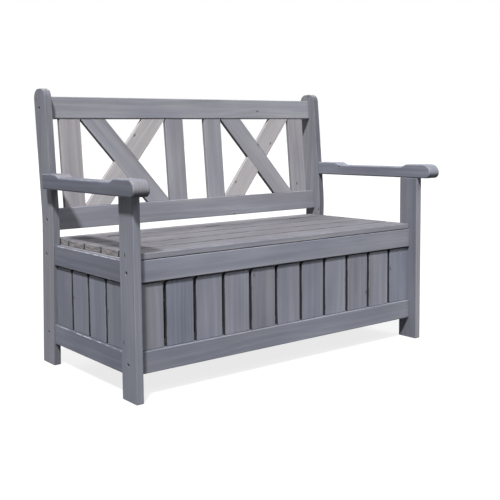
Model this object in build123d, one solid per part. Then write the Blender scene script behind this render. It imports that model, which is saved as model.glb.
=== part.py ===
from build123d import *
import math
import os

# Garden storage bench in millimetres: X across, -Y to the front, +Z up, origin on the floor at the middle

# Overall sizes
WIDTH = 1150.0  # across the outer faces of the armrests
FOOT_DEPTH = 540.0  # from the front faces of the front posts to the backs of the rear feet
HEIGHT = 820.0  # floor to the tops of the rear posts

# Posts
POST_THICK = 22.0  # along X
FRONT_POST_DEPTH = 70.0
REAR_POST_DEPTH = 73.0
KNEE_HEIGHT = 430.0  # where the rear posts bend
KNEE_RADIUS = 600.0
BACK_RAKE = 5.0  # degrees that the rear posts lean back above the knee
LEG_SPLAY = 3.0  # degrees that they run back to the floor below the knee
POST_TOP_RADIUS = 28.0

# Armrests
ARM_WIDTH = 49.0
ARM_THICK = 44.0
ARM_TOP = 573.0
ARM_NOSE = 50.0  # reach in front of the front posts
ARM_FRONT_PAD = 98.0  # raised length from the nose
ARM_REAR_PAD = 88.0  # raised length in front of the rear post
ARM_SCOOP = 9.0
ARM_RAMP = 20.0
ARM_RAMP_RADIUS = 20.0
ARM_CHIN_RADIUS = 17.0  # under the nose, whose upper curve takes the rest of the height
ARM_EDGE_RADIUS = 4.0

# Rails of the box
RAIL_HEIGHT = 58.0
RAIL_THICK = 19.0
LOW_RAIL_BOTTOM = 67.0
TOP_RAIL_BOTTOM = 304.0
FRONT_SETBACK = 28.0  # rail face behind the front faces of the front posts
SIDE_SETBACK = 3.0  # rail face inside the outer faces of the posts
REAR_SETBACK = 12.0  # rail face in front of the knees' back edge

# Slats and cleats of the box
SLAT_THICK = 11.0
SLAT_TOP_GAP = 4.0  # under the top rails
SLAT_CORNER = 6.0  # cut off the top corners
FRONT_SLATS = 11
FRONT_SLAT_GAP = 8.5
SIDE_SLATS = 4
SIDE_SLAT_GAP = 8.0
CLEAT_THICK = 20.0
CLEAT_LAP = 20.0  # height that a cleat covers on the rail, and again on the slats

# Floor of the box
FLOOR_BOARDS = 10
FLOOR_BOARD_THICK = 12.0
FLOOR_BOARD_GAP = 6.0
FLOOR_BEARER_SIZE = 20.0
FLOOR_BEARER_BOTTOM = 70.0

# Seat: a lid of boards on battens, with one fixed board behind it
SEAT_THICK = 18.0
SEAT_BOARDS = 5
SEAT_GAP = 7.0
SEAT_END_GAP = 4.0  # between the board ends and the posts
SEAT_REAR_INSET = 12.0  # seat edge in front of the rear rail's back face
BATTEN_END_INSET = 157.0  # from the board ends to the middles of the outer battens
BATTEN_WIDTH = 40.0
BATTEN_THICK = 20.0
BATTEN_FRONT_GAP = 6.0  # behind the front rail
BATTEN_REAR_GAP = 4.0  # in front of the lid's back edge

# Hinges in the gap between the lid and the fixed board
HINGE_END_INSET = 157.0  # from the board ends to the middles of the outer hinges
HINGE_LENGTH = 50.0
HINGE_DROP = 1.0  # pin axis below the seat top
LEAF_THICK = 1.5
LEAF_HEIGHT = 13.0
LEAF_DROP = 2.5  # top edge of the leaves below the seat top
KNUCKLE_RADIUS = 3.0
KNUCKLE_GAP = 0.4
PIN_RADIUS = 1.5
PIN_CLEARANCE = 0.05
PIN_HEAD_RADIUS = 2.6
PIN_HEAD_THICK = 1.0
HINGE_SCREW_RADIUS = 1.5
HINGE_SCREW_LENGTH = 18.0
HINGE_SCREW_HEAD_RADIUS = 2.8
HINGE_SCREW_SPACING = 30.0

# Backrest, between the rear posts and in line with their rake
BACK_SETBACK = 29.0  # rail face behind the front faces of the rear posts
BACK_RAIL_HEIGHT = 65.0
BACK_RAIL_THICK = 25.0
BACK_LOWER_BOTTOM = 406.0
BACK_TOP_BOTTOM = 736.0
BACK_SLAT_WIDTH = 70.0
BACK_SLAT_THICK = 14.0
BACK_SLAT_INSET = 2.5  # slat face behind the rail face
BACK_MIDDLE_GAP = 86.0  # between the two inner slats
BACK_END_GAP = 35.0  # between the outer slats and the posts
BRACE_WIDTH = 66.0
TENON_LENGTH = 12.0
TENON_THICK = 8.0
TENON_SHOULDER = 10.0

# Fasteners
FIT = 0.1  # radial clearance of every fixed hole
BOLT_RADIUS = 3.0
BOLT_LENGTH = 60.0
BOLT_HEAD_RADIUS = 5.0
BOLT_HEAD_THICK = 3.0
BOLT_SINK = 2.0  # head below the post's face
NUT_RADIUS = 5.0
NUT_LENGTH = 16.0
NUT_FROM_BOLT_END = 10.0
DOWEL_RADIUS = 4.0
DOWEL_LENGTH = 40.0
DOWEL_SPACING = 30.0
ARM_DOWEL_SPACING = 20.0
SEAT_DOWEL_LENGTH = 30.0
SEAT_DOWEL_IN_BOARD = 10.0
SEAT_DOWEL_EDGE = 16.0  # from the long edges of the fixed seat board
SCREW_RADIUS = 2.0
SCREW_HEAD_RADIUS = 4.0
SCREW_HEAD_THICK = 2.5
SCREW_BITE = 8.0  # depth in the board that a screw holds
BATTEN_SCREW_SPACING = 20.0

SIDES = {"left": -1, "right": 1}
ALONG_X = (1, 0, 0)
ALONG_Y = (0, 1, 0)
ALONG_Z = (0, 0, 1)

# Planes of the frame, worked out from the sizes above
POST_INNER = WIDTH / 2 - ARM_WIDTH
POST_OUTER = POST_INNER + POST_THICK
POST_MIDDLE = (POST_INNER + POST_OUTER) / 2
ARM_UNDER = ARM_TOP - ARM_THICK
RAKE_SLOPE = math.tan(math.radians(BACK_RAKE))
SPLAY_SLOPE = math.tan(math.radians(LEG_SPLAY))
RAKE_COSINE = math.cos(math.radians(BACK_RAKE))
ROUNDED_OFF = POST_TOP_RADIUS * (RAKE_SLOPE + 1 / RAKE_COSINE - 1)  # reach that the round tops lose
BACK_REACH = (HEIGHT - KNEE_HEIGHT) * RAKE_SLOPE - KNEE_HEIGHT * SPLAY_SLOPE - ROUNDED_OFF  # behind the feet
DEPTH = ARM_NOSE + FOOT_DEPTH + max(BACK_REACH, 0.0)
FRONT_FACE = -DEPTH / 2 + ARM_NOSE
KNEE_BACK = FRONT_FACE + FOOT_DEPTH - KNEE_HEIGHT * SPLAY_SLOPE

# Spans of the box, each a (low, high) pair
CLEAR_X = (-POST_INNER, POST_INNER)
POST_X = (POST_INNER, POST_OUTER)
SIDE_RAIL_X = (POST_INNER, POST_OUTER - SIDE_SETBACK)
SIDE_SLAT_X = (POST_INNER, POST_INNER + SLAT_THICK)
SIDE_CLEAT_X = (POST_INNER - CLEAT_THICK, POST_INNER)
FRONT_POST_Y = (FRONT_FACE, FRONT_FACE + FRONT_POST_DEPTH)
FRONT_RAIL_Y = (FRONT_FACE + FRONT_SETBACK, FRONT_FACE + FRONT_SETBACK + RAIL_THICK)
FRONT_SLAT_Y = (FRONT_RAIL_Y[1] - SLAT_THICK, FRONT_RAIL_Y[1])
FRONT_CLEAT_Y = (FRONT_RAIL_Y[1], FRONT_RAIL_Y[1] + CLEAT_THICK)
REAR_RAIL_Y = (KNEE_BACK - REAR_SETBACK - RAIL_THICK, KNEE_BACK - REAR_SETBACK)
REAR_SLAT_Y = (REAR_RAIL_Y[0], REAR_RAIL_Y[0] + SLAT_THICK)
REAR_CLEAT_Y = (REAR_RAIL_Y[0] - CLEAT_THICK, REAR_RAIL_Y[0])
INSIDE_Y = (FRONT_RAIL_Y[1], REAR_RAIL_Y[0])
SIDE_CLEAT_Y = (FRONT_CLEAT_Y[1], REAR_CLEAT_Y[0])
LOW_RAIL_Z = (LOW_RAIL_BOTTOM, LOW_RAIL_BOTTOM + RAIL_HEIGHT)
TOP_RAIL_Z = (TOP_RAIL_BOTTOM, TOP_RAIL_BOTTOM + RAIL_HEIGHT)
SLAT_Z = (LOW_RAIL_Z[1], TOP_RAIL_Z[0] - SLAT_TOP_GAP)
LOW_CLEAT_Z = (SLAT_Z[0] - CLEAT_LAP, SLAT_Z[0] + CLEAT_LAP)
TOP_CLEAT_Z = (SLAT_Z[1] - CLEAT_LAP, TOP_RAIL_Z[0] + CLEAT_LAP)
SEAT_BEARER_Z = (TOP_CLEAT_Z[1], TOP_RAIL_Z[1])
FLOOR_BEARER_Z = (FLOOR_BEARER_BOTTOM, FLOOR_BEARER_BOTTOM + FLOOR_BEARER_SIZE)
FLOOR_Z = (FLOOR_BEARER_Z[1], FLOOR_BEARER_Z[1] + FLOOR_BOARD_THICK)

# Seat and hinge places
SEAT_X = (CLEAR_X[0] + SEAT_END_GAP, CLEAR_X[1] - SEAT_END_GAP)
SEAT_Z = (TOP_RAIL_Z[1], TOP_RAIL_Z[1] + SEAT_THICK)
SEAT_Y = (FRONT_RAIL_Y[0], REAR_RAIL_Y[1] - SEAT_REAR_INSET)
SEAT_BOARD_WIDTH = (SEAT_Y[1] - SEAT_Y[0] - (SEAT_BOARDS - 1) * SEAT_GAP) / SEAT_BOARDS
FIXED_BOARD_Y = (SEAT_Y[1] - SEAT_BOARD_WIDTH, SEAT_Y[1])
LID_BACK = FIXED_BOARD_Y[0] - SEAT_GAP
BATTEN_Z = (SEAT_Z[0] - BATTEN_THICK, SEAT_Z[0])
BATTEN_Y = (FRONT_RAIL_Y[1] + BATTEN_FRONT_GAP, LID_BACK - BATTEN_REAR_GAP)
BATTEN_PLACES = (SEAT_X[0] + BATTEN_END_INSET, 0.0, SEAT_X[1] - BATTEN_END_INSET)
HINGE_PLACES = (SEAT_X[0] + HINGE_END_INSET, 0.0, SEAT_X[1] - HINGE_END_INSET)
HINGE_Y = LID_BACK + SEAT_GAP / 2
HINGE_Z = SEAT_Z[1] - HINGE_DROP
LEAF_Z = (SEAT_Z[1] - LEAF_DROP - LEAF_HEIGHT, SEAT_Z[1] - LEAF_DROP)

# Backrest frame: X across, local Y up the rake from the knee, local Z to the front
BACK_FRAME = Plane(
    origin=(0, KNEE_BACK - REAR_POST_DEPTH, KNEE_HEIGHT),
    x_dir=ALONG_X,
    z_dir=(0, -1, RAKE_SLOPE),
)
BACK_LOWER_UP = (BACK_LOWER_BOTTOM - KNEE_HEIGHT, BACK_LOWER_BOTTOM - KNEE_HEIGHT + BACK_RAIL_HEIGHT)
BACK_TOP_UP = (BACK_TOP_BOTTOM - KNEE_HEIGHT, BACK_TOP_BOTTOM - KNEE_HEIGHT + BACK_RAIL_HEIGHT)
BAY_UP = (BACK_LOWER_UP[1], BACK_TOP_UP[0])
BACK_RAIL_DEEP = (-BACK_SETBACK - BACK_RAIL_THICK, -BACK_SETBACK)
BACK_MIDDLE = sum(BACK_RAIL_DEEP) / 2
BACK_SLAT_DEEP = (BACK_RAIL_DEEP[1] - BACK_SLAT_INSET - BACK_SLAT_THICK, BACK_RAIL_DEEP[1] - BACK_SLAT_INSET)
BACK_INNER_SLAT_X = (BACK_MIDDLE_GAP + BACK_SLAT_WIDTH) / 2
BACK_OUTER_SLAT_X = POST_INNER - BACK_END_GAP - BACK_SLAT_WIDTH / 2


def middle(span):
    """The middle of a (low, high) span."""
    return (span[0] + span[1]) / 2


def on_side(span, sign):
    """An X span of the right side, or its mirror image where sign is -1."""
    return tuple(sorted((sign * span[0], sign * span[1])))


def row(span, count, gap):
    """Equal spans that fill a span, a gap apart."""
    width = (span[1] - span[0] - (count - 1) * gap) / count
    starts = [span[0] + index * (width + gap) for index in range(count)]
    return [(start, start + width) for start in starts]


def block(x, y, z):
    """A square-sawn board from its spans along X, Y and Z."""
    size = Box(x[1] - x[0], y[1] - y[0], z[1] - z[0])
    return Pos(middle(x), middle(y), middle(z)) * size


def rod(start, direction, radius, length):
    """A round bar from a point along a direction."""
    return Part() + Solid.make_cylinder(radius, length, Plane(origin=start, z_dir=direction))


def cut_along_x(outline, x):
    """A board cut to an outline of (y, z) points, its thickness over the X span."""
    return Pos(x[0], 0, 0) * extrude(Plane.YZ * make_face(Polyline(*outline, close=True)), x[1] - x[0])


def cut_along_y(outline, y):
    """A board cut to an outline of (x, z) points, its thickness over the Y span."""
    face = Plane.XZ * make_face(Polyline(*outline, close=True))
    return Pos(0, y[0], 0) * extrude(face, y[0] - y[1])


def boxes_meet(one, other):
    """Whether the bounding boxes of two shapes meet."""
    first, second = one.bounding_box(), other.bounding_box()
    pairs = zip(first.min, first.max, second.min, second.max)
    return all(low <= other_high and other_low <= high for low, high, other_low, other_high in pairs)


def drill(pieces, nodes, tools):
    """Cut the tools out of every solid of the named nodes that they reach."""
    for node in nodes:
        for index, solid in enumerate(pieces[node]):
            near = [tool for tool in tools if boxes_meet(solid, tool)]
            if near:
                pieces[node][index] = solid - near


# Rear posts

def post_back(z):
    """Y of the rear posts' back edge at a height."""
    slope = RAKE_SLOPE if z > KNEE_HEIGHT else -SPLAY_SLOPE
    return KNEE_BACK + (z - KNEE_HEIGHT) * slope


def post_front(z):
    """Y of the rear posts' front edge at a height."""
    return post_back(z) - REAR_POST_DEPTH


def rear_post(x):
    """A rear post, bent at the knee and rounded at its top."""
    heights = (0.0, KNEE_HEIGHT, HEIGHT)
    outline = [(post_back(z), z) for z in heights] + [(post_front(z), z) for z in reversed(heights)]
    face = make_face(Polyline(*outline, close=True))
    face = fillet(face.vertices().group_by(Axis.Y)[-1], POST_TOP_RADIUS)
    knees = face.vertices().filter_by(lambda vertex: abs(vertex.Y - KNEE_HEIGHT) < FIT)
    face = fillet(knees, KNEE_RADIUS)
    return Pos(x[0], 0, 0) * extrude(Plane.YZ * face, x[1] - x[0])


def posts():
    """The four posts."""
    pieces = {}
    for side, sign in SIDES.items():
        x = on_side(POST_X, sign)
        pieces[f"front_post_{side}"] = [block(x, FRONT_POST_Y, (0.0, ARM_UNDER))]
        pieces[f"rear_post_{side}"] = [rear_post(x)]
    return pieces


# Armrests

def armrest(x):
    """An armrest: flat below, scooped on top between two pads, round at the nose."""
    nose_tip = -DEPTH / 2
    brow_radius = ARM_THICK - ARM_CHIN_RADIUS
    brow = (nose_tip + brow_radius, ARM_TOP - brow_radius)
    chin = (nose_tip + ARM_CHIN_RADIUS, ARM_UNDER + ARM_CHIN_RADIUS)
    scoop = ARM_TOP - ARM_SCOOP
    front_pad_end = nose_tip + ARM_FRONT_PAD
    rear_pad_end = post_front(ARM_TOP) - ARM_REAR_PAD
    top = Polyline(
        (brow[0], ARM_TOP),
        (front_pad_end, ARM_TOP),
        (front_pad_end + ARM_RAMP, scoop),
        (rear_pad_end - ARM_RAMP, scoop),
        (rear_pad_end, ARM_TOP),
        (post_front(ARM_TOP), ARM_TOP),
        (post_front(ARM_UNDER), ARM_UNDER),
        (chin[0], ARM_UNDER),
    )
    round_nose = [CenterArc(chin, ARM_CHIN_RADIUS, 180, 90), CenterArc(brow, brow_radius, 90, 90)]
    face = make_face([*top.edges(), *round_nose])
    ramp_ends = (front_pad_end, front_pad_end + ARM_RAMP, rear_pad_end - ARM_RAMP, rear_pad_end)
    corners = face.vertices().filter_by(lambda vertex: min(abs(vertex.X - end) for end in ramp_ends) < FIT)
    face = fillet(corners, ARM_RAMP_RADIUS)
    arm = Pos(x[0], 0, 0) * extrude(Plane.YZ * face, x[1] - x[0])
    rims = arm.faces().sort_by(Axis.X)[0].edges() + arm.faces().sort_by(Axis.X)[-1].edges()
    butt = post_front(ARM_TOP) - ARM_THICK / 2
    eased = [edge for edge in rims if edge.center().Z > ARM_UNDER + FIT and not is_butt_end(edge, butt)]
    return fillet(eased, ARM_EDGE_RADIUS)


def is_butt_end(edge, behind):
    """Whether an edge stands upright at the back end of an armrest."""
    box = edge.bounding_box()
    return box.size.Z > box.size.Y and box.min.Y > behind


def armrests():
    """Both armrests, flush with the inner faces of the posts."""
    spans = {side: on_side((POST_INNER, WIDTH / 2), sign) for side, sign in SIDES.items()}
    return {f"armrest_{side}": [armrest(x)] for side, x in spans.items()}


# Box

def side_rail(x, z):
    """A side rail from the front post to the leaning front edge of the rear post."""
    outline = [
        (FRONT_POST_Y[1], z[0]),
        (post_front(z[0]), z[0]),
        (post_front(z[1]), z[1]),
        (FRONT_POST_Y[1], z[1]),
    ]
    return cut_along_x(outline, x)


def rails():
    """The eight rails of the box."""
    pieces = {}
    for level, z in {"top": TOP_RAIL_Z, "bottom": LOW_RAIL_Z}.items():
        pieces[f"front_{level}_rail"] = [block(CLEAR_X, FRONT_RAIL_Y, z)]
        pieces[f"rear_{level}_rail"] = [block(CLEAR_X, REAR_RAIL_Y, z)]
        for side, sign in SIDES.items():
            pieces[f"side_{level}_rail_{side}"] = [side_rail(on_side(SIDE_RAIL_X, sign), z)]
    return pieces


def slat_outline(foot, head):
    """Outline of an upright slat with its top corners cut off, from its spans at the foot and the head."""
    return [
        (foot[0], SLAT_Z[0]),
        (foot[1], SLAT_Z[0]),
        (head[1], SLAT_Z[1] - SLAT_CORNER),
        (head[1] - SLAT_CORNER, SLAT_Z[1]),
        (head[0] + SLAT_CORNER, SLAT_Z[1]),
        (head[0], SLAT_Z[1] - SLAT_CORNER),
    ]


def side_slat_spans():
    """Y spans of the side slats at their heads, from the front post to the rear post."""
    return row((FRONT_POST_Y[1], post_front(SLAT_Z[1] - SLAT_CORNER)), SIDE_SLATS, SIDE_SLAT_GAP)


def slats():
    """The slats of the box, with the backmost side slats cut to the slope of the rear posts."""
    pieces = {}
    across = row(CLEAR_X, FRONT_SLATS, FRONT_SLAT_GAP)
    for number, span in enumerate(across, start=1):
        pieces[f"front_slat_{number:02d}"] = [cut_along_y(slat_outline(span, span), FRONT_SLAT_Y)]
    pieces["rear_slats"] = [cut_along_y(slat_outline(span, span), REAR_SLAT_Y) for span in across]
    heads = side_slat_spans()
    feet = heads[:-1] + [(heads[-1][0], post_front(SLAT_Z[0]))]
    for side, sign in SIDES.items():
        x = on_side(SIDE_SLAT_X, sign)
        outlines = [slat_outline(foot, head) for foot, head in zip(feet, heads)]
        pieces[f"side_slats_{side}"] = [cut_along_x(outline, x) for outline in outlines]
    return pieces


def cleats():
    """Cleats behind the slats, and the bearers that carry the ends of the seat."""
    pieces = {}
    for name, z in {"upper_cleats": TOP_CLEAT_Z, "lower_cleats": LOW_CLEAT_Z}.items():
        pieces[name] = [block(CLEAR_X, FRONT_CLEAT_Y, z), block(CLEAR_X, REAR_CLEAT_Y, z)]
        pieces[name] += [block(on_side(SIDE_CLEAT_X, sign), SIDE_CLEAT_Y, z) for sign in SIDES.values()]
    bearers = [block(on_side(SIDE_CLEAT_X, sign), INSIDE_Y, SEAT_BEARER_Z) for sign in SIDES.values()]
    pieces["seat_bearers"] = bearers
    return pieces


def box_floor():
    """Floor boards laid front to back on two bearers."""
    front = (INSIDE_Y[0], INSIDE_Y[0] + FLOOR_BEARER_SIZE)
    rear = (INSIDE_Y[1] - FLOOR_BEARER_SIZE, INSIDE_Y[1])
    boards = row(CLEAR_X, FLOOR_BOARDS, FLOOR_BOARD_GAP)
    return {
        "floor_bearers": [block(CLEAR_X, y, FLOOR_BEARER_Z) for y in (front, rear)],
        "floor_boards": [block(x, INSIDE_Y, FLOOR_Z) for x in boards],
    }


# Seat

def seat():
    """Lid boards and battens, and the fixed board behind the lid."""
    boards = row(SEAT_Y, SEAT_BOARDS, SEAT_GAP)
    pieces = {"fixed_seat_board": [block(SEAT_X, boards[-1], SEAT_Z)]}
    for number, y in enumerate(boards[:-1], start=1):
        pieces[f"lid_board_{number}"] = [block(SEAT_X, y, SEAT_Z)]
    for number, place in enumerate(BATTEN_PLACES, start=1):
        x = (place - BATTEN_WIDTH / 2, place + BATTEN_WIDTH / 2)
        pieces[f"lid_batten_{number}"] = [block(x, BATTEN_Y, BATTEN_Z)]
    return pieces


# Hinges

def knuckle(x):
    """A hinge knuckle around the pin over an X span."""
    return rod((x[0], HINGE_Y, HINGE_Z), ALONG_X, KNUCKLE_RADIUS, x[1] - x[0])


def leaf_plate(x, toward_lid):
    """A leaf let into the edge of a seat board, and the Y of its open face."""
    face = LID_BACK if toward_lid else FIXED_BOARD_Y[0]
    deep = face - LEAF_THICK if toward_lid else face + LEAF_THICK
    return block(x, tuple(sorted((face, deep))), LEAF_Z), face


def leaf(place, toward_lid):
    """A leaf with its knuckles: the outer two on the lid, the middle one on the fixed board."""
    whole = (place - HINGE_LENGTH / 2, place + HINGE_LENGTH / 2)
    thirds = row(whole, 3, KNUCKLE_GAP)
    plate, face = leaf_plate(whole, toward_lid)
    for x in (thirds[0], thirds[2]) if toward_lid else (thirds[1],):
        neck = block(x, tuple(sorted((face, HINGE_Y))), (LEAF_Z[1] - LEAF_THICK, LEAF_Z[1]))
        plate = plate + neck + knuckle(x)
    return plate - rod((whole[0], HINGE_Y, HINGE_Z), ALONG_X, PIN_RADIUS + PIN_CLEARANCE, HINGE_LENGTH)


def hinge_pin(place):
    """A hinge pin with a head just past each end of the knuckles."""
    reach = HINGE_LENGTH / 2 + PIN_CLEARANCE
    pin = rod((place - reach, HINGE_Y, HINGE_Z), ALONG_X, PIN_RADIUS, 2 * reach)
    for x in (place - reach - PIN_HEAD_THICK, place + reach):
        pin = pin + rod((x, HINGE_Y, HINGE_Z), ALONG_X, PIN_HEAD_RADIUS, PIN_HEAD_THICK)
    return pin


def hinges():
    """Leaves and pins of the lid's butt hinges."""
    return {
        "hinge_leaves_fixed": [leaf(place, False) for place in HINGE_PLACES],
        "hinge_leaves_lid": [leaf(place, True) for place in HINGE_PLACES],
        "hinge_pins": [hinge_pin(place) for place in HINGE_PLACES],
    }


# Backrest

def back_board(x, up, deep):
    """A board of the backrest, from spans in the raked frame."""
    return BACK_FRAME.location * block(x, up, deep)


def around(centre, size):
    """A span of a size around a centre."""
    return (centre - size / 2, centre + size / 2)


def back_slat(x):
    """An upright back slat with a tenon at each end, and its tenons alone."""
    tenon_x = (x[0] + TENON_SHOULDER, x[1] - TENON_SHOULDER)
    tenon_up = (BAY_UP[0] - TENON_LENGTH, BAY_UP[1] + TENON_LENGTH)
    tenons = back_board(tenon_x, tenon_up, around(middle(BACK_SLAT_DEEP), TENON_THICK))
    return back_board(x, BAY_UP, BACK_SLAT_DEEP) + tenons, tenons


def brace_cut(bay_width, bay_height):
    """Length of a brace's level end cut, so that its corners just fit the bay's corners."""
    square = bay_height**2 - BRACE_WIDTH**2
    half = BRACE_WIDTH**2 * bay_width
    free = BRACE_WIDTH**2 * (bay_height**2 + bay_width**2)
    return (math.sqrt(half**2 + square * free) - half) / square


def brace(bay, falls_right):
    """A diagonal brace across a bay, still whole, as thick as the slats."""
    cut = brace_cut(bay[1] - bay[0], BAY_UP[1] - BAY_UP[0])
    high, low = (bay[0], bay[1] - cut) if falls_right else (bay[1] - cut, bay[0])
    outline = [(high, BAY_UP[1]), (high + cut, BAY_UP[1]), (low + cut, BAY_UP[0]), (low, BAY_UP[0])]
    face = make_face(Polyline(*outline, close=True))
    return BACK_FRAME.location * (Pos(0, 0, BACK_SLAT_DEEP[0]) * extrude(face, BACK_SLAT_THICK))


def crossed_braces(bay):
    """The braces of a bay, halved where they cross: the one that falls to the right keeps its front half."""
    falling, rising = brace(bay, True), brace(bay, False)
    crossing = falling & rising
    rear_half = back_board(bay, BAY_UP, (BACK_SLAT_DEEP[0], middle(BACK_SLAT_DEEP)))
    return falling - (crossing & rear_half), rising - (crossing - rear_half)


def backrest():
    """Rails, slats and crossed braces between the rear posts."""
    rail_spans = {"back_top_rail": BACK_TOP_UP, "back_lower_rail": BACK_LOWER_UP}
    pieces = {name: [back_board(CLEAR_X, up, BACK_RAIL_DEEP)] for name, up in rail_spans.items()}
    centres = (-BACK_OUTER_SLAT_X, -BACK_INNER_SLAT_X, BACK_INNER_SLAT_X, BACK_OUTER_SLAT_X)
    spans = [around(centre, BACK_SLAT_WIDTH) for centre in centres]
    for number, x in enumerate(spans, start=1):
        slat, tenons = back_slat(x)
        pieces[f"back_slat_{number}"] = [slat]
        drill(pieces, rail_spans, [tenons])
    for side, (first, second) in {"left": spans[:2], "right": spans[2:]}.items():
        bay = (first[1], second[0])
        falling, rising = crossed_braces(bay)
        pieces[f"back_brace_front_{side}"] = [falling]
        pieces[f"back_brace_rear_{side}"] = [rising]
    return pieces


# Fasteners

def bolted_rails():
    """Each bolted rail with the (y, z) of its bolts and the direction that its barrel nuts go in."""
    places = {
        "front_top_rail": (middle(FRONT_RAIL_Y), middle(TOP_RAIL_Z), (0, -1, 0)),
        "front_bottom_rail": (middle(FRONT_RAIL_Y), middle(LOW_RAIL_Z), (0, -1, 0)),
        "rear_top_rail": (middle(REAR_RAIL_Y), middle(TOP_RAIL_Z), (0, 1, 0)),
        "rear_bottom_rail": (middle(REAR_RAIL_Y), middle(LOW_RAIL_Z), (0, 1, 0)),
    }
    for name, up in {"back_top_rail": BACK_TOP_UP, "back_lower_rail": BACK_LOWER_UP}.items():
        centre = BACK_FRAME.from_local_coords((0, middle(up), BACK_MIDDLE))
        places[name] = (centre.Y, centre.Z, tuple(BACK_FRAME.z_dir))
    return places


def add_frame_bolts(pieces):
    """Bolts through the posts into barrel nuts in the rails, with their holes."""
    pieces["frame_bolts"] = []
    pieces["barrel_nuts"] = []
    head_depth = BOLT_SINK + BOLT_HEAD_THICK
    for rail, (y, z, nut_way) in bolted_rails().items():
        thick = BACK_RAIL_THICK if rail.startswith("back") else RAIL_THICK
        end_of = "front" if rail.startswith("front") else "rear"
        for side, sign in SIDES.items():
            inward = (-sign, 0, 0)
            mouth = (sign * POST_OUTER, y, z)
            head = (sign * (POST_OUTER - BOLT_SINK), y, z)
            seat_of_head = (sign * (POST_OUTER - head_depth), y, z)
            nut_x = sign * (POST_OUTER - head_depth - BOLT_LENGTH + NUT_FROM_BOLT_END)
            axis = Vector(nut_x, y, z)
            nut_start = axis - Vector(nut_way) * (NUT_LENGTH / 2)
            rail_face = axis - Vector(nut_way) * (thick / 2)
            bolt = rod(head, inward, BOLT_HEAD_RADIUS, BOLT_HEAD_THICK)
            bolt = bolt + rod(seat_of_head, inward, BOLT_RADIUS, BOLT_LENGTH)
            bolt_hole = rod(mouth, inward, BOLT_RADIUS + FIT, head_depth + BOLT_LENGTH + FIT)
            head_hole = rod(mouth, inward, BOLT_HEAD_RADIUS + FIT, head_depth)
            nut_hole = rod(rail_face, nut_way, NUT_RADIUS + FIT, (thick + NUT_LENGTH) / 2)
            pieces["frame_bolts"].append(bolt)
            pieces["barrel_nuts"].append(rod(nut_start, nut_way, NUT_RADIUS, NUT_LENGTH) - bolt_hole)
            drill(pieces, [f"{end_of}_post_{side}"], [bolt_hole + head_hole])
            drill(pieces, [rail], [bolt_hole + nut_hole])


def dowel_places():
    """Start, direction, length and the two boards of every dowel on the right side."""
    half = DOWEL_LENGTH / 2
    rail_x = middle(SIDE_RAIL_X)
    places = []
    for level, z in {"top": TOP_RAIL_Z, "bottom": LOW_RAIL_Z}.items():
        for height in around(middle(z), DOWEL_SPACING):
            rail = f"side_{level}_rail"
            front, rear = FRONT_POST_Y[1] - half, post_front(height) - half
            places.append(((rail_x, front, height), ALONG_Y, DOWEL_LENGTH, ("front_post", rail)))
            places.append(((rail_x, rear, height), ALONG_Y, DOWEL_LENGTH, ("rear_post", rail)))
    for y in around(middle(FRONT_POST_Y), DOWEL_SPACING):
        start = (POST_MIDDLE, y, ARM_UNDER - half)
        places.append((start, ALONG_Z, DOWEL_LENGTH, ("front_post", "armrest")))
    for height in around(middle((ARM_UNDER, ARM_TOP)), ARM_DOWEL_SPACING):
        start = (POST_MIDDLE, post_front(height) - half, height)
        places.append((start, ALONG_Y, DOWEL_LENGTH, ("rear_post", "armrest")))
    return places


def add_dowels(pieces):
    """Dowels of the side frames, the armrests and the fixed seat board, with their holes."""
    pieces["dowels"] = []
    for side, sign in SIDES.items():
        for (x, y, z), way, length, boards in dowel_places():
            start = (sign * x, y, z)
            pieces["dowels"].append(rod(start, way, DOWEL_RADIUS, length))
            hole = rod(start, way, DOWEL_RADIUS + FIT, length)
            drill(pieces, [f"{board}_{side}" for board in boards], [hole])
        bearer_x = sign * middle((SIDE_CLEAT_X[0], SEAT_X[1]))
        for y in (FIXED_BOARD_Y[0] + SEAT_DOWEL_EDGE, FIXED_BOARD_Y[1] - SEAT_DOWEL_EDGE - RAIL_THICK):
            start = (bearer_x, y, SEAT_Z[0] + SEAT_DOWEL_IN_BOARD - SEAT_DOWEL_LENGTH)
            pieces["dowels"].append(rod(start, ALONG_Z, DOWEL_RADIUS, SEAT_DOWEL_LENGTH))
            hole = rod(start, ALONG_Z, DOWEL_RADIUS + FIT, SEAT_DOWEL_LENGTH)
            drill(pieces, ["fixed_seat_board", "seat_bearers"], [hole])


def screw(start, way, length):
    """A pan-head screw whose head sits on the board at start."""
    head_start = Vector(start) - Vector(way) * SCREW_HEAD_THICK
    head = rod(head_start, way, SCREW_HEAD_RADIUS, SCREW_HEAD_THICK)
    return head + rod(start, way, SCREW_RADIUS, length)


def screw_hole(start, way, length):
    """The hole of such a screw."""
    return rod(start, way, SCREW_RADIUS + FIT, length + FIT)


def panel_screw_places():
    """Start, direction and slat node of the screws that hold the slats to the cleats, from inside."""
    heights = {
        "lower_cleats": middle((SLAT_Z[0], LOW_CLEAT_Z[1])),
        "upper_cleats": middle((TOP_CLEAT_Z[0], SLAT_Z[1])),
    }
    across = row(CLEAR_X, FRONT_SLATS, FRONT_SLAT_GAP)
    along = side_slat_spans()
    for cleat, z in heights.items():
        for number, span in enumerate(across, start=1):
            yield (middle(span), FRONT_CLEAT_Y[1], z), (0, -1, 0), cleat, f"front_slat_{number:02d}"
            yield (middle(span), REAR_CLEAT_Y[0], z), (0, 1, 0), cleat, "rear_slats"
        for side, sign in SIDES.items():
            for span in along:
                y = middle((max(span[0], SIDE_CLEAT_Y[0]), min(span[1], SIDE_CLEAT_Y[1])))
                yield (sign * SIDE_CLEAT_X[0], y, z), (sign, 0, 0), cleat, f"side_slats_{side}"


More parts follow.
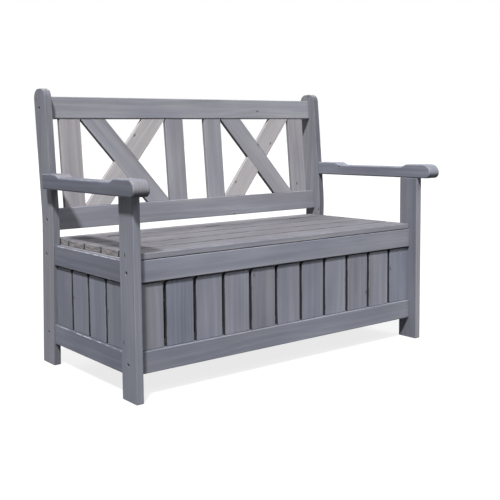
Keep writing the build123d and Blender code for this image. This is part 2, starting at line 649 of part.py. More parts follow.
def add_screws(pieces):
    """Screws of the panels and of the lid's battens, with their holes."""
    pieces["frame_screws"] = []
    length = CLEAT_THICK + SCREW_BITE
    for start, way, cleat, slat in panel_screw_places():
        pieces["frame_screws"].append(screw(start, way, length))
        drill(pieces, [cleat, slat], [screw_hole(start, way, length)])
    pieces["lid_screws"] = []
    length = BATTEN_THICK + SCREW_BITE
    for batten, place in enumerate(BATTEN_PLACES, start=1):
        for board, y in enumerate(row(SEAT_Y, SEAT_BOARDS, SEAT_GAP)[:-1], start=1):
            for x in around(place, BATTEN_SCREW_SPACING):
                start = (x, middle((max(y[0], BATTEN_Y[0]), min(y[1], BATTEN_Y[1]))), BATTEN_Z[0])
                pieces["lid_screws"].append(screw(start, ALONG_Z, length))
                hole = screw_hole(start, ALONG_Z, length)
                drill(pieces, [f"lid_batten_{batten}", f"lid_board_{board}"], [hole])


def hinge_screw(start, way, clearance):
    """A countersunk hinge screw, flush with the leaf, or its hole where clearance is not zero."""
    plane = Plane(origin=start, z_dir=way)
    head_radius = HINGE_SCREW_HEAD_RADIUS + clearance
    radius = HINGE_SCREW_RADIUS + clearance
    head = Part() + Solid.make_cone(head_radius, radius, LEAF_THICK, plane)
    return head + rod(start, way, radius, HINGE_SCREW_LENGTH + clearance)


def add_hinge_screws(pieces):
    """Pockets for the leaves in the board edges, and the screws of the leaves."""
    last_lid_board = f"lid_board_{SEAT_BOARDS - 1}"
    for place in HINGE_PLACES:
        whole = around(place, HINGE_LENGTH)
        for toward_lid in (True, False):
            board = last_lid_board if toward_lid else "fixed_seat_board"
            leaves = "hinge_leaves_lid" if toward_lid else "hinge_leaves_fixed"
            screws = "lid_screws" if toward_lid else "frame_screws"
            way = (0, -1, 0) if toward_lid else ALONG_Y
            pocket, face = leaf_plate(whole, toward_lid)
            drill(pieces, [board], [pocket])
            for x in around(place, HINGE_SCREW_SPACING):
                start = (x, face, middle(LEAF_Z))
                pieces[screws].append(hinge_screw(start, way, 0.0))
                drill(pieces, [board, leaves], [hinge_screw(start, way, FIT)])


def bench():
    """Every node of the bench, as a list of separate solids by name."""
    pieces = {}
    for group in (posts, armrests, rails, slats, cleats, box_floor, seat, hinges, backrest):
        pieces.update(group())
    add_frame_bolts(pieces)
    add_dowels(pieces)
    add_screws(pieces)
    add_hinge_screws(pieces)
    return pieces


def main():
    """Write one STEP file for each node."""
    os.makedirs("parts", exist_ok=True)
    for node, shapes in bench().items():
        solids = [solid for shape in shapes for solid in shape.solids()]
        export_step(solids[0] if len(solids) == 1 else Compound(children=solids), f"parts/{node}.step")


if __name__ == "__main__":
    main()
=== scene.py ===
import logging
import math
import random
from dataclasses import dataclass, field
from enum import Enum
from typing import Any, Callable, Sequence

import bmesh
import bpy
from bmesh.types import BMesh
from bpy.types import Material, Node, NodeSocket, NodeTree, Object
from mathutils import Matrix, Vector
from mathutils.geometry import convex_hull_2d

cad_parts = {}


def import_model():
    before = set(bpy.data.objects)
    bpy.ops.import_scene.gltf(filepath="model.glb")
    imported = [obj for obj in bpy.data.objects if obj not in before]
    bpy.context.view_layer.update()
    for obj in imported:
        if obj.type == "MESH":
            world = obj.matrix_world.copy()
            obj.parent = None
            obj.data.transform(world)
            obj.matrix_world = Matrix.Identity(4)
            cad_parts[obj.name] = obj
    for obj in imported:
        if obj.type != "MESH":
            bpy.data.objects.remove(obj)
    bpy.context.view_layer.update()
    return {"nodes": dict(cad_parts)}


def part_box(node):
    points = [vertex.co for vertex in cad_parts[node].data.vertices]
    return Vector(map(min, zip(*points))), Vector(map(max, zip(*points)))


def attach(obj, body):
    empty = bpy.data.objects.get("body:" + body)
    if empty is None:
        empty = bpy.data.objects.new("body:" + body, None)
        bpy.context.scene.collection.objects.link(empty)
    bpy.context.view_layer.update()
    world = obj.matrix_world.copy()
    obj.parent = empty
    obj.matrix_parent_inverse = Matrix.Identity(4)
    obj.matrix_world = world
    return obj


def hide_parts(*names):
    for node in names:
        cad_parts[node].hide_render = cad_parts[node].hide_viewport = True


# Garden storage bench, dressed for its portrait: metres, X across, -Y to the front, +Z up

LOG = logging.getLogger("bench")
FRAME_BODY = "frame"
LID_BODY = "lid"
SIDES = ("left", "right")
TO_FRONT = Vector((0.0, -1.0, 0.0))
TO_FLOOR = Vector((0.0, 0.0, -1.0))
ACROSS_BENCH = Vector((1.0, 0.0, 0.0))
MERGE = 1e-6  # vertices of a node that are nearer than this are one
STRAIGHT = 1e-5  # an outline point nearer to the line through its neighbours is left out
HEAD_SLACK = 0.0004  # points of a fastener this near to its end belong to that end
ROW_LEAN = Vector((0.0, 0.0012, 0.0))  # how far a board of a row may be out of true, in radians

# Edges that turn by more are eased on a board, and stay sharp where it is cut and on fasteners
ARRIS_ANGLE = math.radians(25)
CUT_ANGLE = math.radians(40)
TURNED_ANGLE = math.radians(35)
ARRIS_STEPS = 3
ARRIS_PROFILE = 0.5  # round

# Which faces of a board carry a mark, by the parts of their normals
END_ALONG = 0.8  # ends look along the grain
SEAM_ACROSS, SEAM_THROUGH = 0.5, 0.8  # narrow sides, which take painted shade, look across it more than through it
FOOT_LOW, FOOT_HIGH = -0.97, -0.2  # lower arrises, which take painted shade, look down, but not straight down
NOSE_AHEAD, NOSE_START, NOSE_RUN = 0.15, -0.2, 0.9  # painted shade under a rounded front darkens as its faces turn to the floor
FORE_AHEAD, FORE_THROUGH = 0.3, 0.3  # fronts, which take a painted step of tone for light and shade, look ahead, and not through the board

Colour = tuple[float, float, float, float]
Shades = tuple[Colour, Colour, Colour]
Pair = tuple[float, float]
Triple = tuple[float, float, float]
Spans = tuple[Vector, Vector]
Inputs = dict[str | int, Any]
WHITE: Colour = (1.0, 1.0, 1.0, 1.0)


def paint(red: int, green: int, blue: int) -> Colour:
    """Turn a display colour into the linear one that sockets hold.

    Args:
        red: Red from 0 to 255.
        green: Green from 0 to 255.
        blue: Blue from 0 to 255.

    Returns:
        Linear red, green, blue and full alpha.
    """
    shares = [value / 255 for value in (red, green, blue)]
    linear = [share / 12.92 if share <= 0.04045 else ((share + 0.055) / 1.055) ** 2.4 for share in shares]
    return (linear[0], linear[1], linear[2], 1.0)


# Node trees


def node_math(operation: str, swapped: bool = False) -> Callable[["Wire", "Wire | float"], "Wire"]:
    """An operator of wires that adds a Math node.

    Args:
        operation: Operation of the node.
        swapped: Whether the wire comes second, as in a number less a wire.

    Returns:
        The operator's method.
    """

    def operate(wire: "Wire", other: "Wire | float") -> "Wire":
        """Add the node."""
        return wire.graph.math(operation, *((other, wire) if swapped else (wire, other)))

    return operate


@dataclass(eq=False)
class Wire:
    """An output socket, whose arithmetic adds Math nodes to its tree."""

    graph: "Graph"
    socket: NodeSocket

    __add__ = __radd__ = node_math("ADD")
    __mul__ = __rmul__ = node_math("MULTIPLY")
    __sub__ = node_math("SUBTRACT")
    __rsub__ = node_math("SUBTRACT", swapped=True)
    __pow__ = node_math("POWER")

    def beside(self, name: str) -> "Wire":
        """Another output of the same node."""
        return Wire(self.graph, Graph.find(self.socket.node.outputs, name))

    def step(self, edge: Pair) -> "Wire":
        """A smooth step from 0 to 1 where this value goes from one to another."""
        inputs = {"Value": self, "From Min": edge[0], "From Max": edge[1]}
        return self.graph.add("ShaderNodeMapRange", {"interpolation_type": "SMOOTHSTEP"}, inputs, "Result")


@dataclass
class Graph:
    """Adds nodes to one node tree and links them."""

    tree: NodeTree

    @staticmethod
    def find(sockets: Sequence[NodeSocket], key: str | int) -> NodeSocket:
        """The socket at an index, or the first one in use with a name."""
        named = (socket for socket in sockets if socket.name == key and socket.enabled)
        return sockets[key] if isinstance(key, int) else next(named)

    def node(self, kind: str) -> Node:
        """The node of a type that a new tree comes with."""
        return next(node for node in self.tree.nodes if node.type == kind)

    def feed(self, node: Node, inputs: Inputs) -> None:
        """Link wires into a node, or set the sockets' own values.

        Args:
            node: The node.
            inputs: Values or wires by socket name or index.
        """
        for key, value in inputs.items():
            socket = self.find(node.inputs, key)
            if isinstance(value, Wire):
                self.tree.links.new(value.socket, socket)
            else:
                socket.default_value = value

    def add(
        self,
        kind: str,
        settings: dict[str, Any] | None = None,
        inputs: Inputs | None = None,
        output: str | int = 0,
    ) -> Wire:
        """Add a node.

        Args:
            kind: Node type.
            settings: Properties of the node, set first; stops are those of a colour ramp.
            inputs: Values or wires by socket name or index.
            output: Name or index of the output to hand back.

        Returns:
            The output as a wire.
        """
        node = self.tree.nodes.new(kind)
        for name, setting in (settings or {}).items():
            if name == "stops":
                self.set_stops(node.color_ramp, setting)
            else:
                setattr(node, name, setting)
        self.feed(node, inputs or {})
        return Wire(self, self.find(node.outputs, output))

    @staticmethod
    def set_stops(ramp: bpy.types.ColorRamp, stops: Sequence[tuple[float, Colour]]) -> None:
        """Give a colour ramp its stops.

        Args:
            ramp: The ramp of a new node, which has two stops.
            stops: Positions and colours in order, two or more.
        """
        while len(ramp.elements) < len(stops):
            ramp.elements.new(0.5)
        for element, (position, colour) in zip(ramp.elements, stops):
            element.position = position
            element.color = colour

    def math(self, operation: str, *values: Wire | float) -> Wire:
        """A Math node on one to three values."""
        return self.add("ShaderNodeMath", {"operation": operation}, dict(enumerate(values)))

    def vector(self, operation: str, *values: Any) -> Wire:
        """A Vector Math node on one or more vectors."""
        return self.add("ShaderNodeVectorMath", {"operation": operation}, dict(enumerate(values)))

    def split(self, vector: Wire) -> tuple[Wire, Wire, Wire]:
        """The three parts of a vector."""
        first = self.add("ShaderNodeSeparateXYZ", None, {0: vector})
        return first, first.beside("Y"), first.beside("Z")

    def join(self, *parts: Wire | float) -> Wire:
        """A vector from three parts."""
        return self.add("ShaderNodeCombineXYZ", None, dict(enumerate(parts)))

    def attribute(self, name: str, output: str = "Fac") -> Wire:
        """A named attribute of the mesh."""
        return self.add("ShaderNodeAttribute", {"attribute_name": name}, None, output)

    def mix(self, factor: Wire | float, one: Any, other: Any) -> Wire:
        """A colour from the first at 0 to the second at 1."""
        inputs = {"Factor": factor, "A": one, "B": other}
        return self.add("ShaderNodeMix", {"data_type": "RGBA", "blend_type": "MIX"}, inputs, "Result")

    def bump(self, height: Wire, strength: float, distance: float) -> Wire:
        """The normal of a surface with a relief."""
        inputs = {"Height": height, "Strength": strength, "Distance": distance}
        return self.add("ShaderNodeBump", None, inputs)

    def seen(self) -> Wire:
        """1 for what the camera, metal and glass see, and 0 for what lights the object.

        Returns:
            The mask, from the kind of ray.
        """
        camera = self.add("ShaderNodeLightPath", None, None, "Is Camera Ray")
        shown = self.math("MAXIMUM", camera, camera.beside("Is Glossy Ray"))
        return self.math("MAXIMUM", shown, camera.beside("Is Transmission Ray"))


@dataclass(frozen=True)
class Noise:
    """A layer of noise, by its waves to the metre along each axis and what it does to a value."""

    waves: Triple
    octaves: float = 3.0
    rough: float = 0.5  # weight of each finer octave
    depth: float = 1.0  # how far apart its two ends move a value
    edge: Pair = (0.0, 1.0)  # where a mask made from it starts and ends

    def on(self, where: Wire) -> Wire:
        """The noise at some coordinates, from 0 to 1.

        Args:
            where: Coordinates in metres.

        Returns:
            The noise value.
        """
        stretched = where.graph.vector("MULTIPLY", where, self.waves)
        inputs = {"Vector": stretched, "Scale": 1.0, "Detail": self.octaves, "Roughness": self.rough}
        return where.graph.add("ShaderNodeTexNoise", None, inputs, "Fac")

    def shift(self, noise: Wire) -> Wire:
        """What the noise adds to a value, as much below as above."""
        return (noise - 0.5) * self.depth

    def sway(self, where: Wire) -> Wire:
        """What the noise at some coordinates adds to a value."""
        return self.shift(self.on(where))

    def mask(self, where: Wire) -> Wire:
        """Patches of 1 with soft edges."""
        return self.on(where).step(self.edge)


# Finishes


@dataclass(frozen=True)
class Finish:
    """A surface finish, made into a material once, and the record's slot that it dresses."""

    name: str
    slot: str = ""

    def material(self) -> Material:
        """The finish's material, made on first use.

        Returns:
            A material whose Principled shader the finish feeds.
        """
        known = bpy.data.materials.get(self.name)
        if known:
            return known
        material = bpy.data.materials.new(self.name)
        material.use_nodes = True
        graph = Graph(material.node_tree)
        graph.feed(graph.node("BSDF_PRINCIPLED"), self.shade(graph))
        return material

    def shade(self, graph: Graph) -> Inputs:
        """Make the nodes that feed the Principled shader."""
        raise NotImplementedError


@dataclass(frozen=True)
class GreyWash(Finish):
    """Softwood under a thin grey stain: rings, fibres and knots show through, edges show pale where worn,
    and painted highlights and painted shade lie on top.

    The boards carry what it reads: local is the place in the board along, across and through the
    grain, plank holds the board's tone, hue and seed, with a painted step of tone and hue on faces
    that look to the front, wear is the rubbing of the arrises and, where set high, a
    painted highlight along them, end is 1 on the sawn ends, and seam is how much painted
    shade lies in the gaps between boards, along lower arrises and under rounded fronts.
    """

    cool: Shades = (paint(80, 84, 96), paint(118, 122, 134), paint(154, 157, 166))
    warm: Shades = (paint(90, 87, 92), paint(130, 127, 132), paint(170, 167, 168))
    stops: Triple = (0.05, 0.5, 0.95)  # levels of the dark, middle and pale shades
    knot: Colour = paint(62, 60, 64)
    # pale of worn arrises, also a painted highlight where the light catches their edges
    rubbed_and_highlight: Colour = paint(166, 167, 172)
    sawn: tuple[Colour, Colour] = (paint(94, 91, 93), paint(166, 161, 160))
    # painted shade: near black, laid in the gaps between boards, along lower arrises and under rounded
    # fronts
    painted_shade: Colour = paint(26, 26, 29)
    fibre: Noise = Noise((9.0, 420.0, 420.0), 4.0, 0.6, depth=0.18)
    band: Noise = Noise((4.0, 130.0, 130.0), 3.0, 0.6, depth=0.22)
    streak: Noise = Noise((1.3, 42.0, 42.0), 3.0, 0.6, depth=0.30)
    cloud: Noise = Noise((3.6, 11.0, 11.0), depth=0.44)
    tint: Noise = Noise((2.2, 15.0, 15.0), 2.0, depth=0.9)
    wander: Noise = Noise((1.1, 3.0, 3.0), 2.0, depth=0.09)
    ripple: Noise = Noise((6.0, 34.0, 34.0), depth=0.004)
    saw_marks: Noise = Noise((40.0, 30.0, 240.0), 4.0, 0.65, edge=(0.34, 0.66))
    # patches where worn arrises and their painted highlight show
    rub_and_highlight: Noise = Noise((30.0, 90.0, 90.0), edge=(0.38, 0.62))
    log_step: Pair = (40.0, 9.0)  # how far along and across the seed moves a board in the log
    tone_reach: float = 0.75  # how much of a board's tone shows
    ring: float = 0.009  # from one to the next
    ring_depth: float = 0.06
    ring_power: float = 1.6  # narrows the pale part of a ring
    pith_swing: float = 0.06  # how far the hue moves it across
    pith_depth: Pair = (0.028, 0.05)  # the least, and how much the seed adds
    knot_cells: Pair = (5.0, 11.0)  # to the metre along and across
    knot_step: Pair = (61.0, 23.0)  # how many cells the seed moves a board
    knot_share: float = 0.74  # of the cells that have none
    knot_edge: Pair = (0.016, 0.042)
    knot_dark: float = 0.8
    swirl_edge: Pair = (0.02, 0.12)
    swirl_depth: float = 0.004
    end_share: float = 0.75  # of the sawn colour on the ends
    gloss: float = 0.35
    roughness: Triple = (0.62, 0.26, 0.05)  # the least, and what fibre and knot add
    heights: Triple = (0.6, 0.3, 0.3)  # of fibre, ring and streak
    knot_sink: float = 0.3
    relief: Pair = (0.5, 0.0007)  # strength and distance

    def shade(self, graph: Graph) -> Inputs:
        """Make the nodes that feed the Principled shader.

        Args:
            graph: Graph of the material.

        Returns:
            Values or wires by input.
        """
        local = graph.attribute("local", "Vector")
        tone, hue, seed = graph.split(graph.attribute("plank", "Vector"))
        along, across, through = graph.split(local)
        where = graph.join(along + seed * self.log_step[0], across + seed * self.log_step[1], through)
        knot, swirl = self.knots(along, across, seed)
        ring = self.rings(where, (across, through), (hue, seed), swirl)
        fibre, streak = self.fibre.on(where), self.streak.on(where)
        level = 0.5 + (tone - 0.5) * self.tone_reach + (ring - 0.5) * self.ring_depth
        level = level + self.fibre.shift(fibre) + self.band.sway(where)
        level = level + self.streak.shift(streak) + self.cloud.sway(where)
        shades = [
            graph.add("ShaderNodeValToRGB", {"stops": list(zip(self.stops, colours))}, {0: level})
            for colours in (self.cool, self.warm)
        ]
        colour = graph.mix(hue + self.tint.sway(where), *shades)
        colour = graph.mix(knot * self.knot_dark, colour, self.knot)
        ends = graph.mix(self.saw_marks.mask(where), *self.sawn)
        colour = graph.mix(graph.attribute("end") * self.end_share, colour, ends)
        # painted shade, then worn arrises with a painted highlight over them
        colour = graph.mix(graph.attribute("seam"), colour, self.painted_shade)
        colour = graph.mix(graph.attribute("wear") * self.rub_and_highlight.mask(where), colour, self.rubbed_and_highlight)
        least, by_fibre, by_knot = self.roughness
        high = [part * height for part, height in zip((fibre, ring, streak), self.heights)]
        height = high[0] + high[1] + high[2] - knot * self.knot_sink
        return {
            "Base Color": colour,
            "Roughness": least + fibre * by_fibre + knot * by_knot,
            "Specular IOR Level": self.gloss,
            "Normal": graph.bump(height, *self.relief),
        }

    def knots(self, along: Wire, across: Wire, seed: Wire) -> tuple[Wire, Wire]:
        """A few knots, each an oval drawn out along the grain.

        Args:
            along: Place along the grain.
            across: Place across the grain.
            seed: The board's seed.

        Returns:
            A mask of the knots, and one of the grain that swirls round them.
        """
        graph = seed.graph
        places = zip((along, across), self.knot_cells, self.knot_step)
        cells = graph.join(*(place * count + seed * step for place, count, step in places), 0.0)
        inputs = {"Vector": cells, "Scale": 1.0}
        away = graph.add("ShaderNodeTexVoronoi", {"voronoi_dimensions": "2D"}, inputs, "Distance")
        here = graph.math("GREATER_THAN", graph.split(away.beside("Color"))[0], self.knot_share)
        return tuple(here * (1.0 - away.step(edge)) for edge in (self.knot_edge, self.swirl_edge))

    def rings(self, where: Wire, face: tuple[Wire, Wire], board: tuple[Wire, Wire], swirl: Wire) -> Wire:
        """Year rings round a pith that lies beside the board.

        Args:
            where: Place in the log.
            face: Places across and through the board.
            board: The board's hue and seed.
            swirl: Mask of the grain round the knots.

        Returns:
            A wave from 0 to 1.
        """
        graph = where.graph
        sideways = face[0] + (board[0] - 0.5) * self.pith_swing + self.wander.sway(where)
        deep = face[1] + self.pith_depth[0] + board[1] * self.pith_depth[1]
        radius = graph.math("SQRT", sideways * sideways + deep * deep)
        radius = radius + self.ripple.sway(where) + swirl * self.swirl_depth
        wave = graph.math("SINE", radius * (2 * math.pi / self.ring))
        return (wave * 0.5 + 0.5) ** self.ring_power


@dataclass(frozen=True)
class ZincPlate(Finish):
    """Bright zinc plating with a faint spangle and dull patches."""

    bright: Colour = paint(172, 175, 179)
    dull: Colour = paint(128, 130, 134)
    patch: Noise = Noise((90.0, 90.0, 90.0), 4.0, 0.6, edge=(0.35, 0.7))
    spangle: Noise = Noise((900.0, 900.0, 900.0), 2.0)
    roughness: Triple = (0.30, 0.18, 0.1)  # the least, and what patch and spangle add
    relief: Pair = (0.15, 0.0002)  # strength and distance

    def shade(self, graph: Graph) -> Inputs:
        """Make the nodes that feed the Principled shader.

        Args:
            graph: Graph of the material.

        Returns:
            Values or wires by input.
        """
        where = graph.add("ShaderNodeTexCoord", None, None, "Object")
        patch, spangle = self.patch.mask(where), self.spangle.on(where)
        least, by_patch, by_spangle = self.roughness
        return {
            "Base Color": graph.mix(patch, self.bright, self.dull),
            "Metallic": 1.0,
            "Roughness": least + patch * by_patch + spangle * by_spangle,
            "Normal": graph.bump(spangle, *self.relief),
        }


@dataclass(frozen=True)
class DowelBeech(Finish):
    """Plain turned beech with short flecks."""

    pale: Colour = paint(196, 164, 124)
    fleck: Colour = paint(148, 112, 76)
    flecks: Noise = Noise((500.0, 160.0, 500.0), edge=(0.45, 0.75))
    roughness: Pair = (0.6, 0.2)  # the least, and what a fleck adds

    def shade(self, graph: Graph) -> Inputs:
        """Make the nodes that feed the Principled shader.

        Args:
            graph: Graph of the material.

        Returns:
            Values or wires by input.
        """
        fleck = self.flecks.mask(graph.add("ShaderNodeTexCoord", None, None, "Object"))
        rough = self.roughness[0] + fleck * self.roughness[1]
        return {"Base Color": graph.mix(fleck, self.pale, self.fleck), "Roughness": rough}


@dataclass(frozen=True)
class PaleFloor(Finish):
    """A pale floor that looks bright and throws little light back on the bench."""

    pale: Colour = (0.9, 0.9, 0.9, 1.0)
    bounce: Colour = (0.08, 0.08, 0.08, 1.0)  # what it throws back
    glow: float = 0.8
    roughness: float = 0.9

    def shade(self, graph: Graph) -> Inputs:
        """Make the nodes that feed the Principled shader, and mix a glow into it.

        Args:
            graph: Graph of the material.

        Returns:
            Values or wires by input.
        """
        seen = graph.seen()
        light = graph.add("ShaderNodeEmission", None, {"Color": WHITE, "Strength": 1.0})
        matt = Wire(graph, graph.node("BSDF_PRINCIPLED").outputs["BSDF"])
        whole = graph.add("ShaderNodeMixShader", None, {0: seen * self.glow, 1: matt, 2: light})
        graph.feed(graph.node("OUTPUT_MATERIAL"), {"Surface": whole})
        return {"Base Color": graph.mix(seen, self.bounce, self.pale), "Roughness": self.roughness}


GREY_WOOD = GreyWash("grey_washed_softwood", "grey_wood")
INNER_WOOD = GreyWash(
    "thinly_washed_softwood",
    "inner_wood",
    cool=(paint(104, 105, 110), paint(142, 143, 147), paint(176, 176, 177)),
    warm=(paint(112, 109, 107), paint(150, 147, 144), paint(184, 180, 174)),
)
ZINC = ZincPlate("zinc_plate", "zinc_steel")
# worn plating, darkened further as painted shade, so the hinges in their gap do not catch the key lamp
WORN_AND_SHADED_ZINC = ZincPlate("worn_zinc_plate", "zinc_steel", bright=paint(96, 97, 101), dull=paint(68, 69, 72))
# zinc darkened as painted shade, so the bolt heads show as dark dots in their bores
SHADE_DARK_ZINC = ZincPlate("dull_zinc_plate", "zinc_steel", bright=paint(64, 65, 68), dull=paint(40, 40, 43))
BEECH = DowelBeech("dowel_beech", "dowel_wood")
FLOOR = PaleFloor("pale_floor")


# Boards


@dataclass(frozen=True)
class Style:
    """How a board looks, and how its edges are worked.

    Tone goes from dark at 0 to pale at 1 and hue from cool to warm, and both may pass these ends.
    """

    tone: float = 0.5
    hue: float = 0.5
    spread: float = 0.06  # how far apart tone and hue are drawn
    arris: float = 0.002  # width that edges are eased by
    rub_and_highlight: float = 0.25  # worn arrises, and where set high a painted highlight along them
    seam: float = 0.0  # painted shade on the narrow sides, in the gaps between boards
    foot_shade: float = 0.0  # painted shade along the lower arrises
    nose_shade: float = 0.0  # painted shade under a rounded front
    painted_front_shading: float = 0.0  # a step of tone on faces that look to the front: painted light above 0, painted shade below
    # hue of those painted fronts
    painted_front_hue: float = 0.75
    sawn: float = 1.0  # saw marks on the ends

    def drawn(self, name: str) -> Triple:
        """Draw a board's tone, hue and seed from its name.

        Args:
            name: Name that seeds the draw.

        Returns:
            Tone, hue and seed.
        """
        draw = random.Random(name)
        shift = [(draw.random() - 0.5) * self.spread for _ in range(2)]
        return (self.tone + shift[0], self.hue + shift[1], draw.random())


def table(**styles: Style) -> Any:
    """A dataclass field that holds a style for each node."""
    return field(default_factory=lambda: dict(styles))


class Lay(Enum):
    """Which way the broad face of a board looks."""

    UP = (0.0, 0.0, 1.0)
    FRONT = (0.0, -1.0, 0.0)
    SIDE = (1.0, 0.0, 0.0)

    @property
    def way(self) -> Vector:
        """The direction."""
        return Vector(self.value)


def welded(node: Object) -> BMesh:
    """A copy of a CAD node's mesh whose doubled vertices are one.

    Args:
        node: The node, which isn't changed.

    Returns:
        The mesh.
    """
    mesh = bmesh.new()
    mesh.from_mesh(node.data)
    bmesh.ops.remove_doubles(mesh, verts=mesh.verts, dist=MERGE)
    return mesh


def islands(node: Object) -> list[list[Vector]]:
    """The solids of a node.

    Args:
        node: A CAD node.

    Returns:
        The corner points of each solid.
    """
    mesh = welded(node)
    solids: list[list[Vector]] = []
    seen: set[bmesh.types.BMVert] = set()
    for start in mesh.verts:
        if start in seen:
            continue
        seen.add(start)
        group, waiting = [], [start]
        while waiting:
            vert = waiting.pop()
            group.append(vert.co.copy())
            linked = (edge.other_vert(vert) for edge in vert.link_edges)
            fresh = [near for near in linked if near not in seen]
            seen.update(fresh)
            waiting.extend(fresh)
        solids.append(group)
    mesh.free()
    return solids


def spans_of(points: Sequence[Vector]) -> Spans:
    """Lowest and highest corner of some points."""
    return tuple(Vector([pick(point[axis] for point in points) for axis in range(3)]) for pick in (min, max))


def corners(low: Vector, high: Vector) -> list[Vector]:
    """The eight corners of a box."""
    return [Vector((x, y, z)) for x in (low.x, high.x) for y in (low.y, high.y) for z in (low.z, high.z)]


def section(node: Object, at: float) -> list[Vector]:
    """The outline of a node where a plane across X cuts it.

    Args:
        node: A CAD node.
        at: X of the plane.

    Returns:
        The points of the longest loop, in order.
    """
    mesh = welded(node)
    everything = mesh.verts[:] + mesh.edges[:] + mesh.faces[:]
    cut = bmesh.ops.bisect_plane(mesh, geom=everything, plane_co=(at, 0, 0), plane_no=(1, 0, 0))["geom_cut"]
    edges = dict.fromkeys(edge for edge in cut if isinstance(edge, bmesh.types.BMEdge))
    loops = []
    while edges:
        edge = edges.popitem()[0]
        vert, loop = edge.verts[1], [edge.verts[0].co.copy()]
        while edge:
            loop.append(vert.co.copy())
            edge = next((link for link in vert.link_edges if link in edges), None)
            if edge:
                del edges[edge]
                vert = edge.other_vert(vert)
        loops.append(loop[:-1])
    mesh.free()
    return max(loops, key=lambda loop: sum((a - b).length for a, b in zip(loop, loop[1:])))


def straightened(points: list[Vector]) -> list[Vector]:
    """Leave out the points of an outline that are doubled or lie on a straight run.

    Args:
        points: The outline.

    Returns:
        The points that its shape needs.
    """
    steps = zip(points[-1:] + points[:-1], points)
    apart = [here for before, here in steps if (here - before).length > STRAIGHT]
    kept = []
    for before, here, after in zip(apart[-1:] + apart[:-1], apart, apart[1:] + apart[:1]):
        run = after - before
        if abs(run.cross(here - before)) > STRAIGHT * run.length:
            kept.append(here)
    return kept


